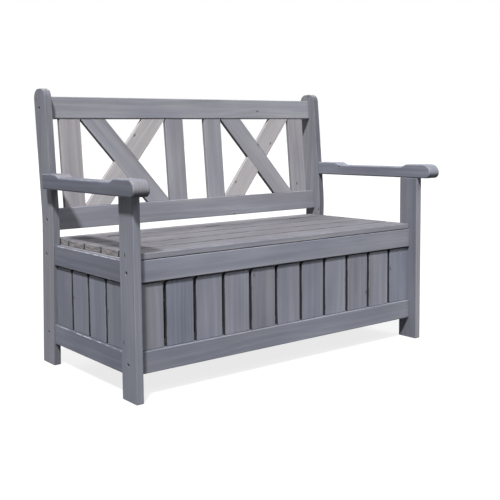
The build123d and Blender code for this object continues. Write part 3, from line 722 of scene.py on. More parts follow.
@dataclass
class Board:
    """A sawn board: an outline swept through its thickness, with eased arrises.

    The outline is in the board's own frame, which runs along, across and through the grain from the
    board's middle. The look is its tone, hue and seed.
    """

    outline: list[Pair]
    thick: float
    place: Matrix
    look: Triple
    style: Style

    @classmethod
    def cut(
        cls, name: str, points: Sequence[Vector], through: Vector, style: Style, convex: bool = True
    ) -> "Board":
        """Cut a board to the outline of some points.

        Args:
            name: Name that its look is drawn from.
            points: Corner points of the solid, or the loop of its outline where that isn't convex.
            through: Direction square to the broad face.
            style: The board's style.
            convex: Whether the outline is the hull of the points.

        Returns:
            The board, with its grain along the longest edge of its outline.
        """
        through = through.normalized()
        side = through.orthogonal().normalized()
        over = through.cross(side)
        flat = [Vector((point.dot(side), point.dot(over))) for point in points]
        if convex:
            flat = [flat[index] for index in convex_hull_2d(flat)]
        flat = straightened(flat)
        edges = [after - before for before, after in zip(flat, flat[1:] + flat[:1])]
        u, v = max(edges, key=lambda edge: edge.length).normalized()
        along = side * u + over * v
        across = through.cross(along)
        deep = [point.dot(through) for point in points]
        turned = [Vector((p.x * u + p.y * v, p.y * u - p.x * v)) for p in flat]
        middle = [(min(p[axis] for p in turned) + max(p[axis] for p in turned)) / 2 for axis in range(2)]
        outline = [(p.x - middle[0], p.y - middle[1]) for p in turned]
        place = Matrix((along, across, through)).transposed().to_4x4()
        place.translation = along * middle[0] + across * middle[1] + through * ((min(deep) + max(deep)) / 2)
        return cls(outline, max(deep) - min(deep), place, style.drawn(name), style)

    def mesh(self, placed: bool = True) -> BMesh:
        """Make the board's mesh with the attributes that its finish reads.

        Args:
            placed: Whether it goes to its place, or stays turned that way about the origin.

        Returns:
            The mesh.
        """
        mesh = self.swept(-self.thick / 2, self.thick / 2)
        self.ease(mesh)
        self.mark(mesh)
        turn = self.place if placed else self.place.to_3x3().to_4x4()
        bmesh.ops.transform(mesh, matrix=turn, verts=mesh.verts)
        return mesh

    def swept(self, low: float, high: float) -> BMesh:
        """Sweep the outline between two depths, with sharp edges, in the board's own frame.

        Args:
            low: Lower depth.
            high: Higher depth.

        Returns:
            The mesh.
        """
        mesh = bmesh.new()
        rims = [[mesh.verts.new((*point, deep)) for point in self.outline] for deep in (low, high)]
        mesh.faces.new(rims[0][::-1])
        mesh.faces.new(rims[1])
        count = len(self.outline)
        for first in range(count):
            second = (first + 1) % count
            mesh.faces.new((rims[0][first], rims[0][second], rims[1][second], rims[1][first]))
        bmesh.ops.recalc_face_normals(mesh, faces=mesh.faces)
        return mesh

    def tool(self, low: float, high: float) -> BMesh:
        """The outline swept between two depths at the board's place, to cut other boards with.

        Args:
            low: Lower depth.
            high: Higher depth.

        Returns:
            The mesh.
        """
        mesh = self.swept(low, high)
        bmesh.ops.transform(mesh, matrix=self.place, verts=mesh.verts)
        return mesh

    def ease(self, mesh: BMesh) -> None:
        """Round the arrises, and note how worn they are, which where set high is a painted highlight too.

        Args:
            mesh: The square-sawn board.
        """
        # worn arrises, and where set high a painted highlight along them
        wear = mesh.verts.layers.float.new("wear")
        sharp = [edge for edge in mesh.edges if edge.calc_face_angle() > ARRIS_ANGLE]
        width = {"offset": self.style.arris, "segments": ARRIS_STEPS, "profile": ARRIS_PROFILE}
        rounded = bmesh.ops.bevel(mesh, geom=sharp, affect="EDGES", clamp_overlap=True, **width)
        bevels = set(rounded["faces"])
        for face in mesh.faces:
            face.smooth = True
        for edge in mesh.edges:
            edge.smooth = len(bevels.intersection(edge.link_faces)) != 1
        for vert in mesh.verts:
            vert[wear] = self.style.rub_and_highlight if bevels.issuperset(vert.link_faces) else 0.0

    def mark(self, mesh: BMesh) -> None:
        """Write the board's own coordinates, look, painted shade, painted front shading and sawn ends into
        the mesh.

        Args:
            mesh: The eased board, in its own frame.
        """
        local = mesh.verts.layers.float_vector.new("local")
        plank = mesh.verts.layers.float_vector.new("plank")
        end = mesh.faces.layers.float.new("end")
        # painted shade in the gaps between boards, along lower arrises and under rounded fronts
        seam = mesh.faces.layers.float.new("seam")
        for vert in mesh.verts:
            vert[local] = vert.co
            vert[plank] = self.look
        style = self.style
        # painted light and shade on faces that look to the front: their tone is stepped and their hue set
        painted_front_look = (self.look[0] + style.painted_front_shading, style.painted_front_hue, self.look[2])
        inward = self.place.to_3x3().transposed()
        ahead, below = inward @ TO_FRONT, inward @ TO_FLOOR
        for face in mesh.faces:
            normal = face.normal
            narrow = abs(normal.y) > SEAM_ACROSS and abs(normal.z) < SEAM_THROUGH
            face[end] = style.sawn if abs(normal.x) > END_ALONG else 0.0
            face[seam] = style.seam if narrow else 0.0
            # painted shade along the lower arrises
            if style.foot_shade and FOOT_LOW < normal.z < FOOT_HIGH:
                face[seam] = style.foot_shade
            # painted shade under a rounded front, darker as its faces turn to the floor
            if style.nose_shade and normal.dot(ahead) > NOSE_AHEAD:
                face[seam] = style.nose_shade * min(max((normal.dot(below) - NOSE_START) / NOSE_RUN, 0.0), 1.0)
            # a painted step of tone on faces that look to the front: light when above 0, shade when below
            if style.painted_front_shading and normal.dot(ahead) > FORE_AHEAD and abs(normal.z) < FORE_THROUGH:
                for vert in face.verts:
                    vert[plank] = painted_front_look


# Pieces and tools


def stand(name: str, data: bpy.types.ID) -> Object:
    """Put a new object with some data into the scene.

    Args:
        name: Name of the object.
        data: Its mesh, light or camera.

    Returns:
        The object, at the origin.
    """
    item = bpy.data.objects.new(name, data)
    bpy.context.scene.collection.objects.link(item)
    return item


def discard(item: Object) -> None:
    """Take an object and its mesh away again.

    Args:
        item: The object.
    """
    data = item.data
    bpy.data.objects.remove(item)
    bpy.data.meshes.remove(data)


def to_object(name: str, meshes: Sequence[BMesh], finish: Finish) -> Object:
    """Join meshes into one object in the scene.

    Args:
        name: Name of the piece.
        meshes: Parts of the piece, which are freed.
        finish: Its finish.

    Returns:
        The object, at the origin.
    """
    whole = bmesh.new()
    for part in meshes:
        data = bpy.data.meshes.new(name)
        part.to_mesh(data)
        part.free()
        whole.from_mesh(data)
        bpy.data.meshes.remove(data)
    data = bpy.data.meshes.new(name)
    whole.to_mesh(data)
    whole.free()
    data.materials.append(finish.material())
    return stand(name, data)


def settle(piece: Object, body: str, nodes: Sequence[str]) -> None:
    """Let a finished piece stand for its CAD nodes.

    Args:
        piece: The piece.
        body: CAD body that it rides on.
        nodes: CAD nodes that it replaces.
    """
    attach(piece, body)
    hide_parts(*nodes)
    LOG.info("%s: %d faces for %s", piece.name, len(piece.data.polygons), ", ".join(nodes))


def plain_mesh(piece: Object) -> None:
    """Turn a piece's modifiers into its own mesh, and take them off.

    Args:
        piece: The piece, whose mesh is replaced.
    """
    graph = bpy.context.evaluated_depsgraph_get()
    shown = piece.evaluated_get(graph)
    result = bpy.data.meshes.new_from_object(shown, preserve_all_data_layers=True, depsgraph=graph)
    piece.modifiers.clear()
    old = piece.data
    piece.data = result
    name = old.name
    bpy.data.meshes.remove(old)
    result.name = name


def carve(piece: Object, board: Board, tools: Sequence[BMesh]) -> None:
    """Cut tools out of a board's piece.

    Args:
        piece: The piece, made from that one board.
        board: The board, whose frame gives the new corners their grain.
        tools: Closed meshes, which are freed.
    """
    cutter = to_object("cutter", tools, GREY_WOOD)
    cut = piece.modifiers.new("cut", "BOOLEAN")
    cut.operation = "DIFFERENCE"
    cut.solver = "EXACT"
    cut.object = cutter
    plain_mesh(piece)
    discard(cutter)
    mesh = bmesh.new()
    mesh.from_mesh(piece.data)
    local = mesh.verts.layers.float_vector["local"]
    plank = mesh.verts.layers.float_vector["plank"]
    back = board.place.inverted()
    for vert in mesh.verts:
        vert[local] = back @ vert.co
        if vert[plank].length == 0.0:
            vert[plank] = board.look
    for edge in mesh.edges:
        if edge.is_manifold and edge.calc_face_angle() > CUT_ANGLE:
            edge.smooth = False
    mesh.to_mesh(piece.data)
    mesh.free()


def box_tool(low: Vector, high: Vector) -> BMesh:
    """A box to cut with.

    Args:
        low: Its lowest corner.
        high: Its highest corner.

    Returns:
        The mesh.
    """
    mesh = bmesh.new()
    place = Matrix.Translation((low + high) / 2) @ Matrix.Diagonal((*(high - low), 1.0))
    bmesh.ops.create_cube(mesh, size=1.0, matrix=place)
    return mesh


def bore_tool(start: Vector, end: Vector, radius: float, sides: int = 32) -> BMesh:
    """A round bar to cut with.

    Args:
        start: Middle of one end.
        end: Middle of the other end.
        radius: Its radius.
        sides: Number of its flat sides.

    Returns:
        The mesh.
    """
    mesh = bmesh.new()
    axis = end - start
    place = Matrix.Translation((start + end) / 2) @ axis.to_track_quat("Z", "Y").to_matrix().to_4x4()
    size = {"segments": sides, "radius1": radius, "radius2": radius, "depth": axis.length}
    bmesh.ops.create_cone(mesh, cap_ends=True, matrix=place, **size)
    return mesh


# Rows and fasteners, made by Geometry Nodes


class NodeRecipe:
    """A Geometry Nodes tree with named inputs that copies a pattern, run once for a piece."""

    def __init__(self, name: str, inputs: dict[str, str]) -> None:
        """Start a tree.

        Args:
            name: Name of the tree.
            inputs: Names and kinds of its own inputs, beside those that every recipe has.
        """
        self.tree = bpy.data.node_groups.new(name, "GeometryNodeTree")
        self.graph = Graph(self.tree)
        self.keys: dict[str, str] = {}
        shared = {"Geometry": "Geometry", "Pattern": "Object", "Seed": "Int", "Finish": "Material"}
        for label, kind in {**shared, **inputs}.items():
            socket = self.tree.interface.new_socket(label, in_out="INPUT", socket_type="NodeSocket" + kind)
            self.keys[label] = socket.identifier
        self.tree.interface.new_socket("Geometry", in_out="OUTPUT", socket_type="NodeSocketGeometry")
        self.entry = self.graph.add("NodeGroupInput")

    def __getitem__(self, label: str) -> Wire:
        """An input of the tree."""
        return self.entry.beside(label)

    def draw(self, kind: str, low: Wire | float, high: Wire | float, seed: Wire) -> Wire:
        """A random value for each copy, between two others."""
        inputs = {"Min": low, "Max": high, "Seed": seed}
        return self.graph.add("FunctionNodeRandomValue", {"data_type": kind}, inputs, "Value")

    def copies(self, inputs: Inputs) -> Wire:
        """The pattern on every point, with inputs that say how."""
        pattern = self.graph.add("GeometryNodeObjectInfo", None, {"Object": self["Pattern"]}, "Geometry")
        return self.graph.add("GeometryNodeInstanceOnPoints", None, {"Instance": pattern, **inputs})

    def close(self, instances: Wire) -> None:
        """End the tree in Realize Instances and Set Material.

        Args:
            instances: What the tree has made.
        """
        whole = self.graph.add("GeometryNodeRealizeInstances", None, {"Geometry": instances})
        put = {"Geometry": whole, "Material": self["Finish"]}
        dressed = self.graph.add("GeometryNodeSetMaterial", None, put)
        self.graph.feed(self.tree.nodes.new("NodeGroupOutput"), {0: dressed})

    def run(self, name: str, pattern: BMesh, points: BMesh, finish: Finish, values: Inputs) -> Object:
        """Run the tree and keep the plain mesh.

        Args:
            name: Name of the piece.
            pattern: What is copied.
            points: The mesh that the tree starts from.
            finish: The finish of the piece.
            values: Values of the other inputs by name.

        Returns:
            The piece.
        """
        copied = to_object(name + "_pattern", [pattern], finish)
        piece = to_object(name, [points], finish)
        recipe = piece.modifiers.new(self.tree.name, "NODES")
        recipe.node_group = self.tree
        for label, value in {"Pattern": copied, "Finish": finish.material(), **values}.items():
            recipe[self.keys[label]] = value
        plain_mesh(piece)
        discard(copied)
        return piece


class BoardRow(NodeRecipe):
    """Copies of one board at an even pitch, each with its own look and a hair out of true."""

    def __init__(self) -> None:
        """Build the tree."""
        vectors = ("First", "Pitch", "Look low", "Look high", "Lean")
        super().__init__("board_row", {"Count": "Int", **dict.fromkeys(vectors, "Vector")})
        graph = self.graph
        line = {"Count": self["Count"], "Start Location": self["First"], "Offset": self["Pitch"]}
        places = graph.add("GeometryNodeMeshLine", {"mode": "OFFSET", "count_mode": "TOTAL"}, line)
        other_way = graph.vector("MULTIPLY", self["Lean"], (-1.0, -1.0, -1.0))
        lean = self.draw("FLOAT_VECTOR", other_way, self["Lean"], self["Seed"] + 1)
        look = self.draw("FLOAT_VECTOR", self["Look low"], self["Look high"], self["Seed"])
        store = {"data_type": "FLOAT_VECTOR", "domain": "INSTANCE"}
        boards = self.copies({"Points": places, "Rotation": lean})
        named = {"Geometry": boards, "Name": "plank", "Value": look}
        self.close(graph.add("GeometryNodeStoreNamedAttribute", store, named))


class FastenerSet(NodeRecipe):
    """One fastener on every point of a mesh, turned to the point's axis."""

    def __init__(self) -> None:
        """Build the tree."""
        super().__init__("fastener_set", {})
        graph = self.graph
        axis, size = [
            graph.add("GeometryNodeInputNamedAttribute", {"data_type": kind}, {"Name": name}, "Attribute")
            for name, kind in (("axis", "FLOAT_VECTOR"), ("size", "FLOAT"))
        ]
        upright = graph.add("FunctionNodeAlignRotationToVector", {"axis": "Z"}, {"Vector": axis})
        turn = self.draw("FLOAT", 0.0, math.pi, self["Seed"])
        spin = graph.add("FunctionNodeAxisAngleToRotation", None, {"Axis": (0.0, 0.0, 1.0), "Angle": turn})
        driven = {"Rotation": upright, "Rotate By": spin}
        turned = graph.add("FunctionNodeRotateRotation", {"rotation_space": "LOCAL"}, driven)
        self.close(self.copies({"Points": self["Geometry"], "Rotation": turned, "Scale": size}))


class Drive(Enum):
    """The shape of the recess in a fastener's head."""

    STAR = "star"
    HEX = "hex"


@dataclass
class Turned:
    """A fastener turned about its axis, with a driver recess in its head."""

    rings: Sequence[Pair]
    drive: Drive
    recess: int = 2  # how many of the rings are the recess
    recess_corners: int = 6
    star_depth: float = 0.22
    sides: int = 12

    def reach(self, ring: int, turn: float) -> float:
        """Radius of a ring on one side.

        Args:
            ring: Index of the ring.
            turn: Angle of the side.

        Returns:
            The radius.
        """
        radius = self.rings[ring][0]
        if ring >= self.recess:
            return radius
        if self.drive is Drive.STAR:
            return radius * (1 + self.star_depth * math.cos(self.recess_corners * turn))
        flat = 2 * math.pi / self.recess_corners
        return radius * math.cos(flat / 2) / math.cos((turn + flat / 2) % flat - flat / 2)

    def mesh(self) -> BMesh:
        """Make the fastener with its head at the origin and its point down.

        Returns:
            The mesh.
        """
        mesh = bmesh.new()
        turns = [2 * math.pi * side / self.sides for side in range(self.sides)]
        loops = []
        for ring, (_, height) in enumerate(self.rings):
            reaches = [self.reach(ring, turn) for turn in turns]
            rim = [(far * math.cos(turn), far * math.sin(turn)) for far, turn in zip(reaches, turns)]
            loops.append([mesh.verts.new((x, y, height)) for x, y in rim])
        mesh.faces.new(loops[0])
        mesh.faces.new(loops[-1][::-1])
        for upper, lower in zip(loops, loops[1:]):
            for first in range(self.sides):
                second = (first + 1) % self.sides
                mesh.faces.new((upper[first], lower[first], lower[second], upper[second]))
        bmesh.ops.recalc_face_normals(mesh, faces=mesh.faces)
        for face in mesh.faces:
            face.smooth = True
        for edge in mesh.edges:
            edge.smooth = edge.calc_face_angle() < TURNED_ANGLE
        return mesh


@dataclass
class Driven:
    """A fastener of the CAD: where its head ends, which way it looks, and how wide it is."""

    head: Vector
    axis: Vector
    radius: float

    @classmethod
    def read(cls, points: Sequence[Vector]) -> "Driven":
        """Find the head of a fastener that lies along an axis of the frame.

        Args:
            points: Corner points of its solid.

        Returns:
            The fastener.
        """
        low, high = spans_of(points)
        size = high - low
        long = max(range(3), key=lambda axis: size[axis])
        thin = [axis for axis in range(3) if axis != long]
        middle = (low + high) / 2
        near = [max((point - middle)[axis] for axis in thin) for point in points]
        top = sum(n for n, point in zip(near, points) if point[long] > high[long] - HEAD_SLACK)
        bottom = sum(n for n, point in zip(near, points) if point[long] < low[long] + HEAD_SLACK)
        axis = Vector([float(index == long) for index in range(3)])
        head = middle.copy()
        head[long] = high[long] if top > bottom else low[long]
        return cls(head, axis if top > bottom else -axis, max(size[axis] for axis in thin) / 2)


# Sub-assemblies


@dataclass
class Workshop:
    """What every sub-assembly works with: the frame, and the recipes for rows and fasteners."""

    nodes: dict[str, Object]
    rows: BoardRow
    fasteners: FastenerSet

    def board(self, node: str, through: Vector, style: Style) -> Board:
        """A board cut to a CAD node whose outline is convex."""
        return Board.cut(node, [vert.co for vert in self.nodes[node].data.vertices], through, style)

    def boards(self, node: str, solids: Sequence[tuple[list[Vector], Lay]], style: Style) -> list[Board]:
        """Boards for the solids of a node, each with a look of its own."""
        numbered = enumerate(solids)
        return [Board.cut(f"{node}_{number}", points, lay.way, style) for number, (points, lay) in numbered]

    def make(
        self,
        node: str,
        boards: Sequence[Board],
        tools: Sequence[BMesh] = (),
        body: str = FRAME_BODY,
        finish: Finish = GREY_WOOD,
    ) -> None:
        """Make one piece that stands for a node.

        Args:
            node: Name of the node.
            boards: Its boards.
            tools: What is cut out of it, where it is one board.
            body: CAD body that it rides on.
            finish: Its finish.
        """
        piece = to_object(node + "_timber", [board.mesh() for board in boards], finish)
        if tools:
            carve(piece, boards[0], tools)
        settle(piece, body, [node])

    def row(
        self,
        name: str,
        nodes: Sequence[str],
        first: Board,
        line: tuple[Vector, int],
        looks: tuple[Triple, Triple],
        seed: int,
        finish: Finish = GREY_WOOD,
    ) -> None:
        """Make a row of copies of a board.

        Args:
            name: Name of the piece.
            nodes: CAD nodes that it replaces.
            first: The first board of the row.
            line: Step from one board to the next, and the number of boards.
            looks: Lowest and highest tone, hue and seed.
            seed: Seed of the random draws.
            finish: Their finish.
        """
        pattern = first.mesh(placed=False)
        layers = pattern.verts.layers.float_vector
        layers.remove(layers["plank"])
        values = {
            "Count": line[1],
            "First": first.place.translation,
            "Pitch": line[0],
            "Look low": Vector(looks[0]),
            "Look high": Vector(looks[1]),
            "Lean": ROW_LEAN,
            "Seed": seed,
        }
        settle(self.rows.run(name, pattern, bmesh.new(), finish, values), FRAME_BODY, nodes)

    def fasten(self, node: str, body: str, shape: Turned, finish: Finish, seed: int) -> None:
        """Make the fasteners of a node.

        Args:
            node: Name of the node.
            body: CAD body that they ride on.
            shape: The fastener, scaled to the radius that the node has.
            finish: Their finish.
            seed: Seed of their random turns.
        """
        widest = max(radius for radius, _ in shape.rings)
        points = bmesh.new()
        axis = points.verts.layers.float_vector.new("axis")
        size = points.verts.layers.float.new("size")
        for solid in islands(self.nodes[node]):
            place = Driven.read(solid)
            vert = points.verts.new(place.head)
            vert[axis] = place.axis
            vert[size] = place.radius / widest
        piece = self.fasteners.run(node + "_set", shape.mesh(), points, finish, {"Seed": seed})
        settle(piece, body, [node])


@dataclass
class EndFrames:
    """Posts, armrests and side rails of the two ends."""

    shop: Workshop
    post_inset: float = 0.002  # where outlines are read, in from the outer face and clear of dowels
    arm_inset: float = 0.015
    bore_radius: float = 0.0052
    bore_depth: float = 0.005
    bore_start: float = 0.002  # outside the post
    bolt_slack: float = 0.001  # how far outside a post its bolts may reach
    # fronts lifted or lowered by a step of tone are painted light and shade, arm undersides take painted
    # shade, and the side rails' high rubbing paints a highlight along their arrises
    styles: dict[str, Style] = table(
        front_post_left=Style(0.46, 0.3, rub_and_highlight=0.05),
        rear_post_left=Style(0.46, 0.5, rub_and_highlight=0.05, painted_front_shading=-0.29, painted_front_hue=0.5),
        armrest_left=Style(0.15, 0.15, arris=0.004, nose_shade=0.92, painted_front_shading=0.33, sawn=0.0),
        side_top_rail_left=Style(0.21, 0.1, rub_and_highlight=1.5),
        side_bottom_rail_left=Style(0.21, 0.1, rub_and_highlight=1.5),
        front_post_right=Style(0.34, 0.3, rub_and_highlight=0.05, painted_front_shading=0.2),
        rear_post_right=Style(0.58, 0.5, rub_and_highlight=0.05, painted_front_shading=-0.55, painted_front_hue=0.5),
        armrest_right=Style(0.58, 0.15, arris=0.004, nose_shade=0.92, sawn=0.0),
        side_top_rail_right=Style(0.4, 0.1, rub_and_highlight=1.5),
        side_bottom_rail_right=Style(0.4, 0.1, rub_and_highlight=1.5),
    )

    def build(self) -> None:
        """Make every piece of both ends."""
        for side in SIDES:
            for node in (f"front_post_{side}", f"rear_post_{side}"):
                self.shop.make(node, [self.shaped(node, side, self.post_inset)], self.bores(node))
            arm = f"armrest_{side}"
            self.shop.make(arm, [self.shaped(arm, side, self.arm_inset)])
            for node in (f"side_top_rail_{side}", f"side_bottom_rail_{side}"):
                self.shop.make(node, [self.shop.board(node, Lay.SIDE.way, self.styles[node])])

    def shaped(self, node: str, side: str, inset: float) -> Board:
        """A board whose broad face looks to the side, cut to the node's own outline.

        Args:
            node: Name of the node.
            side: Left or right.
            inset: How far in from the outer face the outline is read.

        Returns:
            The board.
        """
        low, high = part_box(node)
        at = low.x + inset if side == "left" else high.x - inset
        loop = section(self.shop.nodes[node], at)
        board = Board.cut(node, loop, Lay.SIDE.way, self.styles[node], convex=False)
        board.thick = high.x - low.x
        board.place.translation.x = (low.x + high.x) / 2
        return board

    def bores(self, node: str) -> list[BMesh]:
        """Tools for the bolt heads that sit in a post.

        Args:
            node: Name of the post.

        Returns:
            A round bar for each bolt head.
        """
        low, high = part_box(node)
        slack = self.bolt_slack
        tools = []
        for points in islands(self.shop.nodes["frame_bolts"]):
            bolt = Driven.read(points)
            if all(low[axis] - slack < bolt.head[axis] < high[axis] + slack for axis in range(3)):
                face = high.x if bolt.axis.x > 0 else low.x
                outer = Vector((face, bolt.head.y, bolt.head.z)) + bolt.axis * self.bore_start
                inner = outer - bolt.axis * (self.bore_depth + self.bore_start)
                tools.append(bore_tool(outer, inner, self.bore_radius))
        return tools


@dataclass
class BoxWalls:
    """Long rails and slats that close the box."""

    shop: Workshop
    rails: dict[str, Style] = table(
        front_top_rail=Style(0.49, 0.25),
        front_bottom_rail=Style(0.4, 0.25),
        rear_top_rail=Style(0.49, 0.25),
        rear_bottom_rail=Style(0.4, 0.25),
    )
    # the slats' narrow sides take painted shade, to stand for the gaps between them
    slat: Style = Style(0.39, 0.15, spread=0.2, seam=0.9)
    looks: tuple[Triple, Triple] = ((0.3, 0.0, 0.0), (0.5, 0.45, 1.0))
    front_seed: int = 4
    rear_seed: int = 9

    def build(self) -> None:
        """Make the rails and the slats; the last slat of each end has the slope of the rear post."""
        for node, style in self.rails.items():
            self.shop.make(node, [self.shop.board(node, Lay.FRONT.way, style)])
        self.rows()
        for node in (f"side_slats_{side}" for side in SIDES):
            solids = [(points, Lay.SIDE) for points in islands(self.shop.nodes[node])]
            self.shop.make(node, self.shop.boards(node, solids, self.slat))

    def rows(self) -> None:
        """The rows of slats across the front and the rear."""
        names = sorted(name for name in self.shop.nodes if name.startswith("front_slat_"))
        first = self.shop.board(names[0], Lay.FRONT.way, self.slat)
        line = (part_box(names[1])[0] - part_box(names[0])[0], len(names))
        self.shop.row("front_slats", names, first, line, self.looks, self.front_seed)
        low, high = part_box("rear_slats")
        first.place.translation.y = (low.y + high.y) / 2
        self.shop.row("rear_slats_row", ["rear_slats"], first, line, self.looks, self.rear_seed)


@dataclass
class BoxInside:
    """Cleats, bearers and floor inside the box."""

    shop: Workshop
    style: Style = Style(spread=0.3, arris=0.0015)
    cleat_thick: float = 0.020
    floor_looks: tuple[Triple, Triple] = ((0.3, 0.2, 0.0), (0.7, 0.9, 1.0))
    floor_seed: int = 21

    def build(self) -> None:
        """Make the pieces inside the box."""
        solids = {node: self.cleats(node) for node in ("upper_cleats", "lower_cleats")}
        for node, lay in {"seat_bearers": Lay.SIDE, "floor_bearers": Lay.UP}.items():
            solids[node] = [(points, lay) for points in islands(self.shop.nodes[node])]
        for node, parts in solids.items():
            self.shop.make(node, self.shop.boards(node, parts, self.style), finish=INNER_WOOD)
        self.floor()

    def cleats(self, node: str) -> list[tuple[list[Vector], Lay]]:
        """The four cleats of a ring, two long ones and two between them.

        Args:
            node: Name of the node.

        Returns:
            The corners of each cleat, and which way its broad face looks.
        """
        low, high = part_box(node)
        thick = self.cleat_thick
        front, rear = low.y + thick, high.y - thick
        return [
            (corners(low, Vector((high.x, front, high.z))), Lay.FRONT),
            (corners(Vector((low.x, rear, low.z)), high), Lay.FRONT),
            (corners(Vector((low.x, front, low.z)), Vector((low.x + thick, rear, high.z))), Lay.SIDE),
            (corners(Vector((high.x - thick, front, low.z)), Vector((high.x, rear, high.z))), Lay.SIDE),
        ]

    def floor(self) -> None:
        """The row of floor boards."""
        node = "floor_boards"
        solids = sorted(islands(self.shop.nodes[node]), key=lambda points: spans_of(points)[0].x)
        first = Board.cut(node, solids[0], Lay.UP.way, self.style)
        line = (spans_of(solids[1])[0] - spans_of(solids[0])[0], len(solids))
        self.shop.row("floor_row", [node], first, line, self.floor_looks, self.floor_seed, INNER_WOOD)


@dataclass
class Seat:
    """Boards and battens of the lid, and the fixed board behind it."""

    shop: Workshop
    # the front board takes painted shade along its lower arris and a painted light step on its front; the
    # others take painted shade on their narrow sides
    boards: dict[str, Style] = table(
        lid_board_1=Style(0.12, 0.7, arris=0.0028, foot_shade=0.95, painted_front_shading=0.34, painted_front_hue=0.5),
        lid_board_2=Style(0.10, 0.8, arris=0.0018, seam=0.75),
        lid_board_3=Style(0.12, 0.85, arris=0.0018, seam=0.75),
        lid_board_4=Style(0.11, 0.85, arris=0.0018, seam=0.75),
        fixed_seat_board=Style(0.11, 0.85, arris=0.0018, seam=0.75),
    )
    batten: Style = Style(spread=0.3, arris=0.0015)
    battens: Sequence[str] = ("lid_batten_1", "lid_batten_2", "lid_batten_3")
    leaf_drop: float = 0.0025  # top edge of the hinge leaves below the seat
    pocket_room: float = 0.0002
    pocket_depth: float = 0.0016
    pocket_start: float = 0.01  # outside the board

    def build(self) -> None:
        """Make the boards and the battens."""
        pockets = {
            "lid_board_4": self.pockets("hinge_leaves_lid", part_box("lid_board_4")[1].y, -1),
            "fixed_seat_board": self.pockets("hinge_leaves_fixed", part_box("fixed_seat_board")[0].y, 1),
        }
        for node, style in self.boards.items():
            body = FRAME_BODY if node == "fixed_seat_board" else LID_BODY
            self.shop.make(node, [self.shop.board(node, Lay.UP.way, style)], pockets.get(node, ()), body)
        for node in self.battens:
            board = self.shop.board(node, Lay.UP.way, self.batten)
            self.shop.make(node, [board], body=LID_BODY, finish=INNER_WOOD)

    def pockets(self, leaves: str, face: float, inward: int) -> list[BMesh]:
        """Tools for the pockets that the hinge leaves lie in.

        Args:
            leaves: Node of the leaves.
            face: Y of the board's edge.
            inward: 1 or -1, the way into the board along Y.

        Returns:
            A box for each leaf.
        """
        tools = []
        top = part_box("fixed_seat_board")[1].z - self.leaf_drop
        room = self.pocket_room
        for points in islands(self.shop.nodes[leaves]):
            low, high = spans_of(points)
            ends = sorted((face - inward * self.pocket_start, face + inward * self.pocket_depth))
            bottom = Vector((low.x - room, ends[0], low.z - room))
            tools.append(box_tool(bottom, Vector((high.x + room, ends[1], top + room))))
        return tools


@dataclass
class Backrest:
    """Rails, slats and crossed braces between the rear posts."""

    shop: Workshop
    boards: dict[str, Style] = table(
        back_top_rail=Style(0.6, arris=0.0025),
        back_lower_rail=Style(0.46, arris=0.0025),
        back_slat_1=Style(0.69, 0.95, arris=0.0025),
        back_slat_2=Style(0.46, 0.65, arris=0.0025),
        back_slat_3=Style(0.57, 0.65, arris=0.0025),
        back_slat_4=Style(0.62, 0.8, arris=0.0025),
    )
    # the front braces' narrow sides take painted shade
    braces: dict[str, Style] = table(
        front=Style(0.56, 0.6, arris=0.0012, seam=0.6),
        rear=Style(0.9, 1.4, arris=0.0012),
    )

    def build(self) -> None:
        """Make the backrest's boards."""
        top, lower = [sum(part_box(rail), Vector()) / 2 for rail in ("back_top_rail", "back_lower_rail")]
        through = ACROSS_BENCH.cross(top - lower).normalized()
        for node, style in self.boards.items():
            self.shop.make(node, [self.shop.board(node, through, style)])
        for side in SIDES:
            self.cross(side, through)

    def cross(self, side: str, through: Vector) -> None:
        """The two braces of one bay, halved into each other.

        Args:
            side: Left or right.
            through: Direction to the front, square to the backrest.
        """
        nodes = {layer: f"back_brace_{layer}_{side}" for layer in self.braces}
        boards = {layer: self.shop.board(node, through, self.braces[layer]) for layer, node in nodes.items()}
        thick = boards["front"].thick
        tools = {"front": boards["rear"].tool(-thick, 0.0), "rear": boards["front"].tool(0.0, thick)}
        for layer, board in boards.items():
            self.shop.make(nodes[layer], [board], [tools[layer]])


@dataclass
class Hardware:
    """Bolts, nuts, screws, dowels and hinges."""

    shop: Workshop
    screw: Turned = field(
        default_factory=lambda: Turned(
            rings=(
                (0.0012, -0.0014), (0.0014, -0.0001), (0.0026, 0.0), (0.0036, -0.0006), (0.0040, -0.0016),
                (0.0040, -0.0024), (0.0020, -0.0026), (0.0020, -0.024), (0.0004, -0.0275),
            ),
            drive=Drive.STAR,
        )
    )
    bolt: Turned = field(
        default_factory=lambda: Turned(
            rings=(
                (0.0022, -0.0020), (0.0024, -0.0002), (0.0029, 0.0), (0.0044, -0.0001), (0.0050, -0.0008),
                (0.0050, -0.0030), (0.0030, -0.0031), (0.0030, -0.0620), (0.0024, -0.0630),
            ),
            drive=Drive.HEX,
            sides=24,
        )
    )
    first_seed: int = 31

    def build(self) -> None:
        """Make the fasteners, and give the CAD nodes that stay a better finish."""
        sets = (
            ("frame_screws", FRAME_BODY, self.screw, ZINC),
            ("lid_screws", LID_BODY, self.screw, ZINC),
            # the bolts take the zinc darkened as painted shade
            ("frame_bolts", FRAME_BODY, self.bolt, SHADE_DARK_ZINC),
        )
        for seed, (node, body, shape, finish) in enumerate(sets, start=self.first_seed):
            self.shop.fasten(node, body, shape, finish, seed)
        # the hinge parts take the zinc darkened as painted shade
        kept = dict.fromkeys(("hinge_leaves_fixed", "hinge_leaves_lid", "hinge_pins"), WORN_AND_SHADED_ZINC)
        for node, finish in {**kept, "barrel_nuts": ZINC, "dowels": BEECH}.items():
            materials = self.shop.nodes[node].data.materials
            materials.clear()
            materials.append(finish.material())
            LOG.info("%s: kept, in %s", node, finish.name)


# Studio


